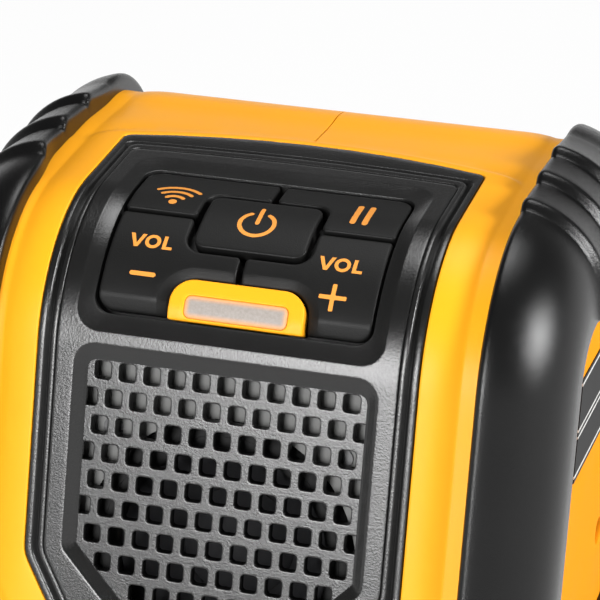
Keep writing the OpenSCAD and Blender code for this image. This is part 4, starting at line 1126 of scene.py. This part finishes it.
# Stage
def mixed(tree, white, plain):
    """White to the camera and to mirror and glass rays, plain to the rest."""
    path = add(tree, "LightPath")
    first, second = add(tree, "Math"), add(tree, "Math")
    first.operation = "MAXIMUM"
    second.operation = "MAXIMUM"
    tree.links.new(path.outputs["Is Camera Ray"], first.inputs[0])
    tree.links.new(path.outputs["Is Glossy Ray"], first.inputs[1])
    tree.links.new(first.outputs[0], second.inputs[0])
    tree.links.new(path.outputs["Is Transmission Ray"], second.inputs[1])
    mix = add(tree, "MixShader")
    tree.links.new(second.outputs[0], mix.inputs[0])
    tree.links.new(plain, mix.inputs[1])
    tree.links.new(white, mix.inputs[2])
    return mix.outputs[0]


def stage():
    """A studio that is white low down and dimmer overhead, with a pale floor."""
    world = bpy.data.worlds.new("studio")
    bpy.context.scene.world = world
    world.use_nodes = True
    tree = world.node_tree
    coords = add(tree, "TexCoord")
    split = add(tree, "SeparateXYZ")
    tree.links.new(coords.outputs["Generated"], split.inputs[0])
    low, high, between = (1, 1, 1), (0.07, 0.07, 0.07), (0.18, 0.18, 0.18)
    shade = ramp(tree, split.outputs["Z"], low, high, 0.03, 0.62, [(0.28, between)])
    tree.links.new(shade, tree.nodes["Background"].inputs["Color"])
    tree.nodes["Background"].inputs["Strength"].default_value = 1.0

    data = bpy.data.meshes.new("floor")
    data.from_pydata([(-6, -6, 0), (6, -6, 0), (6, 6, 0), (-6, 6, 0)], [], [(0, 1, 2, 3)])
    floor = bpy.data.objects.new("floor", data)
    bpy.context.scene.collection.objects.link(floor)
    material, tree, bsdf = shader("pale_floor")
    bsdf.inputs["Base Color"].default_value = (0.86, 0.86, 0.86, 1)
    set_gloss(bsdf, 0.9, 0.1)
    dull = add(tree, "BsdfDiffuse", Color=(0.5, 0.5, 0.5, 1))
    glow = add(tree, "Emission", Strength=1.0)
    half = add(tree, "MixShader")
    half.inputs[0].default_value = 0.93
    tree.links.new(bsdf.outputs[0], half.inputs[1])
    tree.links.new(glow.outputs[0], half.inputs[2])
    both = mixed(tree, half.outputs[0], dull.outputs[0])
    tree.links.new(both, tree.nodes["Material Output"].inputs["Surface"])
    data.materials.append(material)


def lamp(name, azimuth, elevation, distance, size, power):
    """A soft box that looks at the middle of the object; azimuth 0 is the front, positive to the right."""
    a, e = math.radians(azimuth), math.radians(elevation)
    target = Vector((0, 0, 0.1))
    at = target + distance * Vector((math.sin(a) * math.cos(e), -math.cos(a) * math.cos(e), math.sin(e)))
    data = bpy.data.lights.new(name, "AREA")
    data.shape = "RECTANGLE"
    data.size, data.size_y = size
    data.energy = power
    obj = bpy.data.objects.new(name, data)
    obj.location = at
    obj.rotation_euler = (target - at).to_track_quat("-Z", "Y").to_euler()
    bpy.context.scene.collection.objects.link(obj)


def camera():
    """Looks down at the upper front from the right."""
    azimuth, elevation = math.radians(16.4), math.radians(25.9)
    level = math.cos(elevation)
    right = Vector((math.cos(azimuth), math.sin(azimuth), 0))
    back = Vector((math.sin(azimuth) * level, -math.cos(azimuth) * level, math.sin(elevation)))
    up = back.cross(right)
    data = bpy.data.cameras.new("camera")
    data.lens = 179.94
    data.sensor_width = 36.0
    data.clip_start = 0.01
    obj = bpy.data.objects.new("camera", data)
    at = Vector((0.20154, -0.62042 + (BROW[0] - 37.5) * MM, 0.34083 + (BROW[1] + 5.0) * MM))
    turn = Matrix((right, up, back)).transposed().to_4x4()
    obj.matrix_world = Matrix.Translation(at) @ turn
    bpy.context.scene.collection.objects.link(obj)
    bpy.context.scene.camera = obj


stage()
lamp("front_box", -8, 17.5, 1.3, (0.4, 0.66), 18.5)
lamp("right_box", 84, 24, 1.1, (0.36, 0.34), 14.0)
lamp("top_box", 170, 72, 1.2, (0.6, 0.6), 7.0)
camera()
bpy.context.scene.view_settings.view_transform = "Standard"
